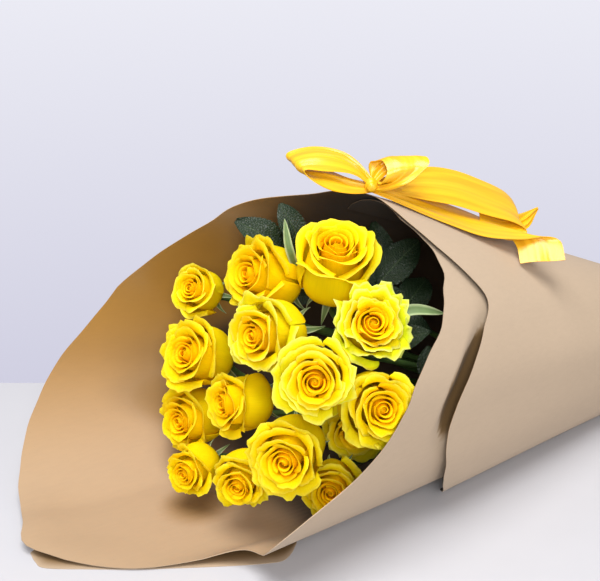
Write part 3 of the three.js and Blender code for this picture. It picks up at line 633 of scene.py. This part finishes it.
def head(form, rose, cells, thick):
    """All petals of one rose, on its own axis, then turned and placed"""
    diameter, at, faces, turn, _, ruffle, lime, openness, count, full = rose
    draw = np.random.RandomState(int(turn * 7 + diameter))
    matrix = turned(faces)
    base = np.array(at) - unit(np.array(faces)) * HEAD_LENGTH / 2 * diameter

    def add(radius, angle, height, along, ring):
        radius = radius * full
        local = radius * np.cos(angle), radius * np.sin(angle), height * HEAD_LENGTH
        local = np.stack(np.broadcast_arrays(*local), -1)
        mark = (along, ring, lime, draw.rand())
        grid = within_paper(base + (local * diameter) @ matrix.T)
        form.sheet(grid, thick * (1.2 - 0.6 * along), (mark, mark))

    # the heart: one long petal rolled up, its lip leaning in
    u = np.linspace(0, 1, 64)[None]
    spiral = 0.018 + 0.088 * u ** 0.9
    neck = (spiral, 0.895 - 0.04 * u + 0.012 * waves(draw, 7 * u, (1, 2)) * u)
    length = (0.02 + 0.034 * u) * (1 + 0.15 * waves(draw, 9 * u, (1, 2)))
    bend = np.radians(75 + 20 * waves(draw, 5 * u, (1, 2)))
    tilt = np.radians(-24 + 14 * u)
    radius, height, along = petal_profile((0.02, 0.3), 0.35, neck, tilt, length, bend, 0.4)
    wound = HEART_TURN * draw.uniform(0.8, 1.1)
    add(radius, np.radians(turn + wound * u), height, along, 0.06 * u)

    # the bud inside it
    s = np.linspace(0, 1, 9)[:, None]
    quarter = s * np.pi / 2
    add(0.003 + 0.1 * np.cos(quarter), np.linspace(0, 2 * np.pi, 25)[None],
        0.5 + 0.35 * np.sin(quarter), 0.6 + 0.2 * s, 0)

    u = np.linspace(-1, 1, cells + 1)[None]
    for k in range(count):
        t = k / (count - 1)
        middle = np.radians(turn + PETAL_TURN * k + draw.uniform(-20, 20))
        fine = 0.4 + t
        neck_radius = np.interp(t, RINGS, NECK_RADIUS) + 0.05 * (openness - 1) * t
        lower = (0.05 + 0.035 * t) * np.abs(u) ** 3
        neck_height = np.interp(t, RINGS, NECK_HEIGHT) - lower
        neck_height = neck_height + 0.013 * waves(draw, u, (2, 3)) * fine
        neck_height = neck_height + draw.uniform(-0.03, 0.03)
        tilt = np.interp(t, RINGS, NECK_TILT) + 22 * (openness - 1) * t + draw.uniform(-7, 7)
        tilt = np.radians(tilt + 5 * waves(draw, u, (1, 2, 4)))
        length = np.interp(t, RINGS, ROLL_LENGTH)
        length = length * (1 + 0.16 * waves(draw, u, (2, 3)) - 0.3 * np.abs(u) ** 4)
        jag = ruffle * t * (0.14 * waves(draw, u, (7, 9, 12)) + 0.09 * waves(draw, u, (15, 19)))
        length = length * (1 + jag)
        point = draw.uniform(0.1, 0.9)
        bend = np.interp(t, RINGS, ROLL_ANGLE) * (0.75 + 0.25 * openness)
        bend = bend * (1 + point * (u ** 2 - 0.4))
        bend = bend + 20 * waves(draw, u, (2, 4)) * (0.4 + ruffle * t)
        bend = np.radians(np.clip(bend, 15, 190))
        root = (0.03 + 0.03 * t, 0.02 + 0.1 * (1 - t))
        root_tilt = math.radians(np.interp(t, RINGS, ROOT_TILT))
        radius, height, along = petal_profile(root, root_tilt, (neck_radius, neck_height), tilt,
                                              length, bend, 0.36 + 0.16 * t)
        radius = radius * (1 + (0.15 - 0.08 * t) * u * smooth(along, 0, 0.6))
        radius = radius + 0.007 * (0.5 + t) * waves(draw, u, (3, 5)) * smooth(along, 0.3, 0.9)
        crimp = ruffle * t * smooth(along, 0.8, 1) * waves(draw, u, (6, 8, 11))
        radius = radius + 0.008 * crimp
        height = height + 0.012 * crimp
        wide = np.radians(np.interp(t, RINGS, SPREAD) * draw.uniform(0.88, 1.1)) / 2
        wide = wide * (0.42 + 0.58 * smooth(along, 0, 0.5))
        add(radius, middle + u * wide * (1 - 0.07 * smooth(along, 0.85, 1)), height, along, t)


def make_blooms(look):
    finish = petal_finish(look)
    for number, rose in enumerate(ROSES, 1):
        form = Form()
        head(form, rose, look.cells, look.thickness / MM)
        name = f"rose_{number:02d}_petals"
        form.piece(name, [finish], "petals", [f"rose_{number:02d}_bloom"], 60)


# ---------------------------------------------------------------- stems and leaves

def stem_places():
    """Each rose's base, facing way and place in the tied bundle"""
    found = []
    for diameter, at, faces, turn, bend, *_ in ROSES:
        way = unit(np.array(faces))
        base = np.array(at) - way * HEAD_LENGTH / 2 * diameter
        found.append({"d": diameter, "way": way, "base": base, "turn": turn, "faces": faces,
                      "neck": base - way * STEM_NECK,
                      "lead": base - way * (HIP_LENGTH + STEM_LEAD) + np.array(bend)})
    low = PAPER_CAD_THICK + CLEARANCE + TIE_THICK + TIE_SLACK + STEM_RADIUS
    waiting = sorted(found, key=lambda rose: rose["neck"][2])
    for row, count in enumerate(STEM_ROWS):
        taken = sorted(waiting[:count], key=lambda rose: rose["neck"][1])
        waiting = waiting[count:]
        for i, rose in enumerate(taken):
            y = BUNDLE_Y + (i - (count - 1) / 2) * STEM_PITCH
            rose["place"] = np.array([0, y, low + row * STEM_PITCH * math.sqrt(3) / 2])
    return found


def stem_path(rose, count):
    start = rose["base"] - rose["way"] * (CLEARANCE + HIP_LENGTH)
    draw = rose["place"] + np.array([TIED_X - STEM_DRAW, 0, 0])
    tied = rose["place"] + np.array([TIED_X, 0, 0])
    t = np.linspace(0, 1, count)[:, None]
    return ((1 - t) ** 3 * start + 3 * t * (1 - t) ** 2 * rose["lead"]
            + 3 * t * t * (1 - t) * draw + t ** 3 * tied)


def place_below(path, below):
    """The point of a stem this far below its hip"""
    return np.array([np.interp(below, lengths_along(path), places) for places in path.T])


# finishes of the greenery, after the stem's own
LEAF, SEPAL, PITH = 1, 2, 3
LEAF_TEETH, LEAF_THICK, SEPAL_THICK = 11, 0.4, 0.5


def leaflet(form, root, tip, normal, draw):
    """A toothed blade, folded along its rib, arching and waving a little"""
    along = tip - root
    length = np.linalg.norm(along)
    along = along / length
    side = unit(np.cross(normal, along))
    face = np.cross(along, side)
    t = np.linspace(0, 1, 4 * LEAF_TEETH + 1)[:, None]
    s = np.linspace(-1, 1, 9)[None]
    full = 0.29 * length * np.sin(np.pi * t ** 0.82) ** 0.72 + 0.25
    saw = (t * LEAF_TEETH) % 1
    full = full * (1 - 0.11 * saw * smooth(t, 0.06, 0.15))
    wave = 0.035 * length * np.sin(t * 9 + draw.uniform(0, 6)) * s * np.abs(s)
    rise = 0.1 * length * np.sin(np.pi * t) + 0.26 * full * np.abs(s) ** 1.2 + wave
    lean = 0.03 * length * saw * np.abs(s) ** 3
    grid = (root + (t * length + lean)[..., None] * along + (s * full)[..., None] * side
            + (rise + draw.uniform(-0.02, 0.02) * length * t ** 2)[..., None] * face)
    form.sheet(within_paper(grid), LEAF_THICK, finish=LEAF)


# rose, distance below its hip, place of the tip, length of the end leaflet, sides with one more
LEAVES = [
    (1, 60, (-4, 84, 158), 34, (-1,)),
    (2, 46, (-70, 80, 198), 44, (-1,)),
    (3, 36, (-40, 62, 212), 36, ()),
    (3, 34, (60, 14, 178), 50, (-1, 1)),
    (2, 90, (42, 52, 186), 42, (-1, 1)),
    (4, 36, (68, 12, 144), 46, (-1,)),
    (4, 30, (14, -62, 138), 34, (1,)),
    (8, 70, (62, -66, 110), 38, (-1, 1)),
]
LEAF_FACES = np.array([-0.4, -0.7, 0.6])
# in lengths of the end leaflet: how far behind it the leaf forks, and how far the tips of the side
# leaflets lie ahead of the fork and out from it
FORK_BEHIND, PAIR_AHEAD, PAIR_OUT = 0.22, 0.34, 0.62
# sepals that stand out beside their bloom: rose, places that each passes through, width
LONG_SEPALS = [
    (3, [(-50, 14, 172), (-59, 15, 191), (-58, 24, 213)], 6),
    (4, [(-18, -47, 148), (2, -56, 156), (23, -68, 153)], 8),
]


def make_leaf(form, path, below, tip, size, sides, draw):
    root = place_below(path, below)
    end = np.array(tip, float)
    along = unit(end - root)
    base = end - along * size
    side = unit(np.cross(LEAF_FACES, along))
    face = np.cross(along, side)
    fork = base - along * size * FORK_BEHIND
    bow = face * 0.05 * np.linalg.norm(fork - root)
    stalk = catmull([root, (root + fork) / 2 - bow, fork, base + along * 2], 16)
    form.tube(stalk, np.linspace(1.1, 0.6, 16), 8)
    leaflet(form, base, end, face, draw)
    for s in sides:
        tip = fork + along * size * PAIR_AHEAD + side * s * size * PAIR_OUT
        leaflet(form, fork, tip, face, draw)


def long_sepal(form, base, places, wide):
    t = np.linspace(0, 1, 16)[:, None]
    line = catmull([tuple(base), *places], 16)
    side = unit(np.cross(np.gradient(line, axis=0), LEAF_FACES))
    half = wide / 2 * np.sin(np.pi * t ** 1.6) ** 0.8 + 0.15
    s = np.linspace(-1, 1, 5)[None]
    grid = line[:, None] + (s * half)[..., None] * side[:, None]
    grid = grid + (half * s ** 2 * 0.4)[..., None] * LEAF_FACES
    form.sheet(within_paper(grid), SEPAL_THICK, finish=SEPAL)


def make_stem(form, rose, number, draw):
    """A stem with its knots and cut end, its hip, and the sepals under the bloom"""
    path = stem_path(rose, STEM_POINTS)
    straight = np.linspace(path[-1], [CUT_ENDS[number % 5], *rose["place"][1:]], 12)[1:]
    whole = np.concatenate([path, straight])
    knots = 1 + 0.1 * bell(np.arange(len(whole)) % 17, 8, 1.3)
    form.tube(whole, STEM_ROUND * knots, 12, cap=PITH)
    matrix = turned(rose["faces"])
    base = rose["base"] - rose["way"] * CLEARANCE
    size = rose["d"]
    cup = HIP_RADIUS * size
    profile = catmull([(-12, 2.3), (-9, 2.6), (-6.2, cup * 0.92), (-3, cup * 1.02),
                       (0, cup * 0.8), (0.8, cup * 0.3)], 18)
    axis = base + profile[:, :1] * rose["way"]
    form.tube(axis, profile[:, 1], 16, level=np.array([0.3, 0.9, 0.31]))
    for carrier, *sepal in LONG_SEPALS:
        if carrier == number:
            long_sepal(form, base, *sepal)
    for k in range(5):
        turn = math.radians(rose["turn"] + 72 * k + draw.uniform(-8, 8))
        out = matrix @ np.array([math.cos(turn), math.sin(turn), 0])
        aside = matrix @ np.array([-math.sin(turn), math.cos(turn), 0])
        droop = draw.uniform(0.85, 1.1)
        t = np.linspace(0, 1, 15)[:, None]
        s = np.linspace(-1, 1, 5)[None]
        lift = math.radians(80) + math.radians(95) * t ** 0.6 * droop
        step = 0.42 * size / 14
        reach, drop = (np.concatenate([[[0]], np.cumsum(move[1:] * step, axis=0)])
                       for move in (np.sin(lift), np.cos(lift)))
        reach, drop = cup * 0.85 + reach, drop - 2.2
        half = 0.052 * size * (1 - t) ** 0.8 * (0.75 + 0.5 * np.sin(np.pi * t ** 0.7)) + 0.12
        hollow = 0.3 * half * s ** 2
        sway = draw.uniform(-0.05, 0.05) * size * t ** 2
        grid = (base + reach[..., None] * out + drop[..., None] * rose["way"]
                + (s * half + sway)[..., None] * aside + hollow[..., None] * rose["way"])
        form.sheet(grid, SEPAL_THICK, finish=SEPAL)


def make_greenery(look):
    finishes = [stem_finish(look), leaf_finish(look), sepal_finish(look), pith_finish(look)]
    for number, rose in enumerate(stem_places(), 1):
        draw = np.random.RandomState(900 + number)
        form = Form()
        make_stem(form, rose, number, draw)
        path = stem_path(rose, STEM_POINTS)
        for carrier, *leaf in LEAVES:
            if carrier == number:
                make_leaf(form, path, *leaf, draw)
        name = f"rose_{number:02d}_greenery"
        form.piece(name, finishes, "greenery", [f"rose_{number:02d}_stem"])


TWINE_TURNS, TWINE_RADIUS = 6, 0.72


def make_tie(look):
    """Turns of twine wound side by side round the bundle"""
    places = np.array([rose["place"] for rose in stem_places()])
    middle = places.mean(axis=0)
    form = Form()
    angle = np.linspace(0, 2 * np.pi * TWINE_TURNS, TWINE_TURNS * 36 + 1)
    out = np.stack([0 * angle, np.cos(angle), np.sin(angle)], -1)
    reach = ((places - middle) @ out.T).max(axis=0) + STEM_RADIUS + TIE_SLACK + TIE_THICK / 2
    path = middle + out * reach[:, None]
    path[:, 0] = TIE_X + TIE_THICK / 2 + (TIE_WIDTH - TIE_THICK) * angle / angle[-1]
    form.tube(path, TWINE_RADIUS, 8, level=np.array([1.0, 0.0, 0.0]))
    form.piece("stem_tie_twine", [twine_finish(look)], "tie", ["stem_tie"])


# ---------------------------------------------------------------- the bow

# stations of a piece of ribbon: place and way across in the bow's axes, width, and hollow, which is
# how far its middle lies behind its edges
LEFT_LOOP = [
    ((2, -2, 0), (0, -0.6, -0.8), 7, 0),
    ((-16, 13, 3), (0.2, -0.6, -0.8), 20, 2),
    ((-38, 18, 2), (0.25, -0.5, -0.83), 27, 3),
    ((-55, 16, 0), (0.45, -0.25, -0.86), 28, 0),
    ((-52, 9, 0), (0.45, -0.25, -0.86), 28, 0),
    ((-33, 4, 0), (0.2, -0.45, -0.87), 26, -3),
    ((-15, -2, 0), (0, -0.4, -0.9), 16, -2),
    ((2, -4, 0), (0, -0.6, -0.8), 7, 0),
]
RIGHT_LOOP = [
    ((0, -2, 2), (0.1, -0.6, -0.8), 7, 0),
    ((5, 7, 5), (0.75, -0.2, -0.6), 16, 1),
    ((14, 15, 5), (0.97, 0.05, -0.2), 26, 2),
    ((23, 18.5, 0), (1, 0.1, 0.05), 31, 1),
    ((26, 13, -8), (0.98, 0.18, 0.08), 31, 1),
    ((19, 4, -9), (0.93, 0.22, -0.05), 27, -1),
    ((9, -1, -5), (0.6, -0.2, -0.6), 15, -1),
    ((0, -4, 0), (0.1, -0.6, -0.8), 7, 0),
]
NEAR_TAIL = [
    ((0, -4, -1), (0, -0.6, -0.8), 7, 0),
    ((18, -10, 0), (0, -0.5, -0.85), 15, 0),
    ((54, -27, 14), (0.15, -0.4, -0.9), 28, 0),
    ((82, -39, 22), (0.25, -0.35, -0.9), 33, 0),
    ((106, -46, 28), (0.6, -0.2, -0.77), 34, 0),
    ((121, -48, 25), (0.9, 0, -0.45), 34, 0),
    ((132, -54, 19), (0.97, 0.12, -0.15), 34, 0),
    ((134, -65, 7), (0.97, 0.12, -0.1), 34, 0),
]
FAR_TAIL = [
    ((0, -2, 2), (0, -0.6, -0.8), 7, 0),
    ((18, -4, 8), (0, -0.7, -0.7), 16, 0),
    ((42, -6, 18), (0, -0.65, -0.75), 30, 0),
    ((67, -13, 31), (0, -0.6, -0.8), 34, 0),
    ((93, -25, 44), (0, -0.55, -0.83), 34, 0),
    ((115, -36, 54), (0.1, -0.45, -0.88), 34, 0),
    ((124, -45, 52), (0.15, -0.38, -0.92), 33, 0),
    ((112, -48, 42), (0.1, -0.36, -0.93), 33, 0),
    ((88, -38, 30), (0, -0.36, -0.93), 30, 0),
]
# the cut end that shows behind the far tail
CUT_TIP = [
    ((112, -47, 50), (0.5, -0.75, -0.4), 16, 0),
    ((128, -50, 61), (0.5, -0.75, -0.4), 14, 0),
    ((143, -43, 74), (0.5, -0.75, -0.4), 1.5, 0),
]
# each piece of ribbon with its number of steps and the phase of its folds
RIBBONS = ((LEFT_LOOP, 64, 0.3), (RIGHT_LOOP, 64, 1.7), (NEAR_TAIL, 60, 2.9), (FAR_TAIL, 70, 4.1),
           (CUT_TIP, 20, 0.9))
RIBBON_WIDTH, RIBBON_LENGTH = 34, 600
KNOT_RADIUS, KNOT_LONG, KNOT_BELOW = 4.6, 16, 2


def ribbon(form, stations, steps, fold, thick):
    """A length of ribbon, pleated where it is gathered and gently waved elsewhere"""
    at = BOW_AT + np.array([s[0] for s in stations], float) @ BOW_AXES
    ways = np.array([s[1] for s in stations], float) @ BOW_AXES
    sizes = np.array([(s[2], s[3], 0) for s in stations], float)
    middle = catmull(at, steps + 1)
    across = unit(catmull(ways, steps + 1))
    size = catmull(sizes, steps + 1)
    face = unit(np.cross(across, np.gradient(middle, axis=0)))
    s = np.linspace(-1, 1, 25)[None]
    width, hollow = size[:, :1], size[:, 1:2]
    t = np.linspace(0, 1, steps + 1)[:, None]
    gather = smooth(width, RIBBON_WIDTH * 1.02, 6)
    pleat = (np.cos(3.2 * np.pi * s + fold + 0.8 * t) * 0.9
             + np.cos(5.3 * np.pi * s + 2 * fold) * 0.35)
    lift = hollow * (s ** 2 - 0.5) + pleat * gather * np.minimum(width, 18) * 0.09
    lift = lift + 0.6 * np.sin(2.2 * s + 9 * t + fold) + 0.35 * np.sin(4.6 * s - 6 * t + 2 * fold)
    grid = (middle[:, None] + (s * width / 2)[..., None] * across[:, None]
            + lift[..., None] * face[:, None])
    form.sheet(grid, thick)


def make_bow(look):
    form = Form()
    for piece in RIBBONS:
        ribbon(form, *piece, look.thickness / MM)
    t = np.linspace(-1, 1, 33)
    path = BOW_AT + t[:, None] * KNOT_LONG / 2 * BOW_AXES[2] - KNOT_BELOW * UP
    form.tube(path, KNOT_RADIUS * (1 - 0.5 * t ** 4) + 0.45 * np.cos(t * 13), 24)
    made = form.piece("ribbon_bow_satin", [satin_finish(look)], "satin_ribbon", ["ribbon_bow"])


# ---------------------------------------------------------------- the stage

VIEW_TURN, VIEW_DOWN = math.radians(31), math.radians(22)
CAMERA_AT = Vector((-410.17, -584.18, 440.0)) * MM
LENS, SENSOR = 60, 36
# in metres: where each light is, what it points at, and how wide it is
LIT = Vector((0, 0, 0.1))
KEY_AT, KEY_WIDE, KEY_COLOUR = (-0.45, -0.35, 1.8), 1.3, (1.0, 0.985, 0.97)
FILL_AT, FILL_WIDE, FILL_COLOUR = (-0.9, -1.5, 1.0), 0.9, (1.0, 0.99, 0.98)
# the table's far edge: a place on it, its length each way, how deep the table is, and the steps in
# which the edge turns away a little behind the bunch
EDGE_AT, EDGE_LONG, TABLE_DEEP, TABLE_THICK = (-200.0, 285.0), 2600, 4200, 30
EDGE_TURN, EDGE_STEP, EDGE_STEPS = 2.6, 20, 6


def make_camera():
    heading = Vector((math.sin(VIEW_TURN), math.cos(VIEW_TURN), 0))
    right = Vector((math.cos(VIEW_TURN), -math.sin(VIEW_TURN), 0))
    forward = heading * math.cos(VIEW_DOWN) - Vector((0, 0, math.sin(VIEW_DOWN)))
    data = bpy.data.cameras.new("camera")
    data.sensor_width, data.lens = SENSOR, LENS
    data.clip_start, data.clip_end = 0.01, 50
    camera = bpy.data.objects.new("camera", data)
    axes = Matrix((right, right.cross(forward), -forward)).transposed()
    camera.matrix_world = Matrix.Translation(CAMERA_AT) @ axes.to_4x4()
    bpy.context.scene.collection.objects.link(camera)
    bpy.context.scene.camera = camera


def area_light(name, at, size, power, colour):
    data = bpy.data.lights.new(name, "AREA")
    data.shape, data.size, data.energy, data.color = "DISK", size, power, colour
    lamp = bpy.data.objects.new(name, data)
    lamp.location = at
    lamp.rotation_mode = "QUATERNION"
    lamp.rotation_quaternion = (LIT - Vector(at)).to_track_quat("-Z", "Y")
    bpy.context.scene.collection.objects.link(lamp)


def make_room(look):
    """A pale room that grows lighter with height, and shines less than it shows"""
    world = bpy.data.worlds.new("pale_room")
    f = Finish(world)
    level = f.node("SeparateXYZ", {}, {"Vector": f.node("TexCoord")}, "Z")
    limits = {"Value": level, "From Min": look.wall_low, "From Max": look.wall_high}
    # the wall is painted darker towards its foot, as shade just over the table
    shown = f.mix(look.wall_foot, look.wall, f.node("MapRange", {}, limits))
    seen = f.node("LightPath", {}, {}, "Is Camera Ray")
    strength = f.node("MapRange", {}, {"Value": seen, "To Min": look.ambient})
    light = f.node("Background", {}, {"Color": shown, "Strength": strength})
    f.node("OutputWorld", {}, {"Surface": light})
    bpy.context.scene.world = world


def make_table(look):
    heading = np.array([math.sin(VIEW_TURN), math.cos(VIEW_TURN)])
    right = np.array([math.cos(VIEW_TURN), -math.sin(VIEW_TURN)])
    far = [EDGE_AT - right * EDGE_LONG, EDGE_AT + right * EDGE_STEP]
    for k in range(1, EDGE_STEPS + 1):
        turn = math.radians(EDGE_TURN * k)
        way = right * math.cos(turn) + heading * math.sin(turn)
        far.append(far[-1] + way * EDGE_STEP)
    far.append(far[-1] + way * EDGE_LONG)
    outline = far + [place - heading * TABLE_DEEP for place in far[::-1]]
    size = len(outline)
    points = [(x * MM, y * MM, z * MM) for z in (0, -TABLE_THICK) for x, y in outline]
    faces = [list(range(size))[::-1], list(range(size, 2 * size))]
    faces += [[i, (i + 1) % size, (i + 1) % size + size, i + size] for i in range(size)]
    mesh = bpy.data.meshes.new("table_top")
    mesh.from_pydata(points, [], faces)
    f = new_finish("pale_table")
    grain = f.noise(f.node("NewGeometry"), 30)
    base = f.tone(look.floor, 0.985 + grain * 0.03)
    mesh.materials.append(f.surface(base, 0.55 + grain * 0.1))
    table = bpy.data.objects.new("table_top", mesh)
    bpy.context.scene.collection.objects.link(table)


def make_stage(look):
    bpy.context.scene.view_settings.view_transform = "Standard"
    make_camera()
    make_room(look)
    area_light("key_light", KEY_AT, KEY_WIDE, look.key, KEY_COLOUR)
    area_light("front_light", FILL_AT, FILL_WIDE, look.fill, FILL_COLOUR)
    make_table(look)


# ---------------------------------------------------------------- settings, operators and panel

def colour(name, description, default):
    return FloatVectorProperty(name=name, description=description, default=default, size=3,
                               min=0, max=1, subtype="COLOR")


def measure(name, description, default, unit="NONE"):
    return FloatProperty(name=name, description=description, default=default, unit=unit)


class PaperSettings(bpy.types.PropertyGroup):
    colour: colour("Paper", "Colour of the kraft paper", (0.455, 0.346, 0.24))
    # the same kraft paper, painted darker and warmer on the side facing the roses, as shade and the
    # roses' yellow light inside the roll
    inside: colour("Paper inside", "Colour of the side facing the roses", (0.385, 0.265, 0.16))
    # painted warm shade: the far wall's shade lit yellow by the roses, and the shade beside the
    # roses, in the groove's slit and on the hem
    painted_warm_shade: colour("Far wall inside", "Colour of the inner side across from the light",
                 (0.30, 0.15, 0.02))
    # painted dark shade deep in the roll behind the roses and close beside them
    depth: colour("Depth", "Colour of the inner side behind the roses", (0.04, 0.027, 0.018))
    thickness: measure("Thickness", "Of the paper", 0.0005, "LENGTH")
    wave: measure("Wave", "How far the rolled paper waves in and out", 0.0011, "LENGTH")


class BloomSettings(bpy.types.PropertyGroup):
    heart: colour("Heart", "Colour of the inmost petals", (1.0, 0.48, 0.001))
    body: colour("Petal", "Colour of most petals", (0.97, 0.62, 0.001))
    outer: colour("Outer petal", "Colour that outer petals turn to", (0.70, 0.77, 0.008))
    lip: colour("Lip", "Colour of the petals' thin edges", (0.86, 0.87, 0.2))
    root: colour("Root", "Colour low on a petal", (1.0, 0.57, 0.001))
    thickness: measure("Thickness", "Of a petal", 0.00038, "LENGTH")
    cells: IntProperty(name="Cells", description="Faces across a petal", default=22, min=6, max=40)


class GreenerySettings(bpy.types.PropertyGroup):
    leaf: colour("Leaf", "Colour of a leaf's upper side", (0.012, 0.026, 0.011))
    leaf_light: colour("Leaf patches", "Lighter parts of a leaf", (0.025, 0.044, 0.018))
    vein: colour("Veins", "Colour of a leaf's veins", (0.08, 0.12, 0.05))
    stem: colour("Stem", "Colour of the stems", (0.10, 0.19, 0.045))
    stem_dark: colour("Stem streaks", "Darker streaks on the stems", (0.05, 0.10, 0.025))
    sepal: colour("Sepal", "Colour of the sepals", (0.10, 0.17, 0.045))
    sepal_edge: colour("Sepal edge", "Colour of the sepals' edges", (0.44, 0.53, 0.27))
    pith: colour("Pith", "Colour of the stems' cut ends", (0.62, 0.62, 0.36))
    twine: colour("Twine", "Colour of the twine round the stems", (0.42, 0.30, 0.15))


class BowSettings(bpy.types.PropertyGroup):
    colour: colour("Ribbon", "Colour of the satin", (0.86, 0.50, 0.010))
    # painted shade: darker bands along the satin that stand in for its sheen
    shade: colour("Ribbon's shade", "Colour of the satin's darker streaks", (0.74, 0.37, 0.006))
    thickness: measure("Thickness", "Of the ribbon", 0.0005, "LENGTH")


class StageSettings(bpy.types.PropertyGroup):
    floor: colour("Table", "Colour of the table", (0.505, 0.505, 0.53))
    wall: colour("Wall", "Colour of the room behind", (0.83, 0.83, 0.905))
    # painted shade: the room behind is darker just over the table
    wall_foot: colour("Wall's foot", "Colour of the room just over the table",
                      (0.63, 0.625, 0.755))
    wall_low: measure("Foot", "Slope of a look at the foot of the wall", -0.45)
    wall_high: measure("Head", "Slope of a look at the head of the wall", -0.1)
    ambient: measure("Ambient", "Strength of the room's own light", 0.48)
    key: measure("Key", "Power of the main light", 39, "POWER")
    fill: measure("Fill", "Power of the light from the front", 24, "POWER")


class BunchSettings(bpy.types.PropertyGroup):
    paper: PointerProperty(type=PaperSettings)
    blooms: PointerProperty(type=BloomSettings)
    greenery: PointerProperty(type=GreenerySettings)
    bow: PointerProperty(type=BowSettings)
    stage: PointerProperty(type=StageSettings)


class AddStage(bpy.types.Operator):
    """Adds the camera, the lights and the table"""
    bl_idname = "rose_bunch.add_stage"
    bl_label = "Stage"

    def execute(self, context):
        make_stage(context.scene.rose_bunch.stage)
        return {"FINISHED"}


class AddPaper(bpy.types.Operator):
    """Adds the roll of kraft paper"""
    bl_idname = "rose_bunch.add_paper"
    bl_label = "Paper"

    def execute(self, context):
        make_paper(context.scene.rose_bunch.paper)
        return {"FINISHED"}


class AddBlooms(bpy.types.Operator):
    """Adds the fifteen rose heads"""
    bl_idname = "rose_bunch.add_blooms"
    bl_label = "Rose heads"

    def execute(self, context):
        make_blooms(context.scene.rose_bunch.blooms)
        return {"FINISHED"}


class AddGreenery(bpy.types.Operator):
    """Adds the stems with their sepals and leaves"""
    bl_idname = "rose_bunch.add_greenery"
    bl_label = "Stems and leaves"

    def execute(self, context):
        make_greenery(context.scene.rose_bunch.greenery)
        return {"FINISHED"}


class AddTie(bpy.types.Operator):
    """Adds the twine round the stems"""
    bl_idname = "rose_bunch.add_tie"
    bl_label = "Tie"

    def execute(self, context):
        make_tie(context.scene.rose_bunch.greenery)
        return {"FINISHED"}


class AddBow(bpy.types.Operator):
    """Adds the satin ribbon bow"""
    bl_idname = "rose_bunch.add_bow"
    bl_label = "Bow"

    def execute(self, context):
        make_bow(context.scene.rose_bunch.bow)
        return {"FINISHED"}


OPERATORS = (AddStage, AddPaper, AddBlooms, AddGreenery, AddTie, AddBow)


class BunchPanel(bpy.types.Panel):
    """Lists the pieces of the bunch and their settings"""
    bl_idname = "VIEW3D_PT_rose_bunch"
    bl_label = "Rose bunch"
    bl_space_type = "VIEW_3D"
    bl_region_type = "UI"
    bl_category = "Rose bunch"

    def draw(self, context):
        bunch = context.scene.rose_bunch
        for group in (bunch.paper, bunch.blooms, bunch.greenery, bunch.bow, bunch.stage):
            box = self.layout.box()
            for key in group.bl_rna.properties.keys():
                if key not in ("rna_type", "name"):
                    box.prop(group, key)
        for operator in OPERATORS:
            self.layout.operator(operator.bl_idname)


CLASSES = (PaperSettings, BloomSettings, GreenerySettings, BowSettings, StageSettings,
           BunchSettings, *OPERATORS, BunchPanel)


def register():
    for made in CLASSES:
        bpy.utils.register_class(made)
    bpy.types.Scene.rose_bunch = PointerProperty(type=BunchSettings)


def unregister():
    del bpy.types.Scene.rose_bunch
    for made in reversed(CLASSES):
        bpy.utils.unregister_class(made)


def main():
    register()
    bpy.ops.rose_bunch.add_stage()
    bpy.ops.rose_bunch.add_paper()
    bpy.ops.rose_bunch.add_blooms()
    bpy.ops.rose_bunch.add_greenery()
    bpy.ops.rose_bunch.add_tie()
    bpy.ops.rose_bunch.add_bow()


if __name__ == "__main__":
    main()
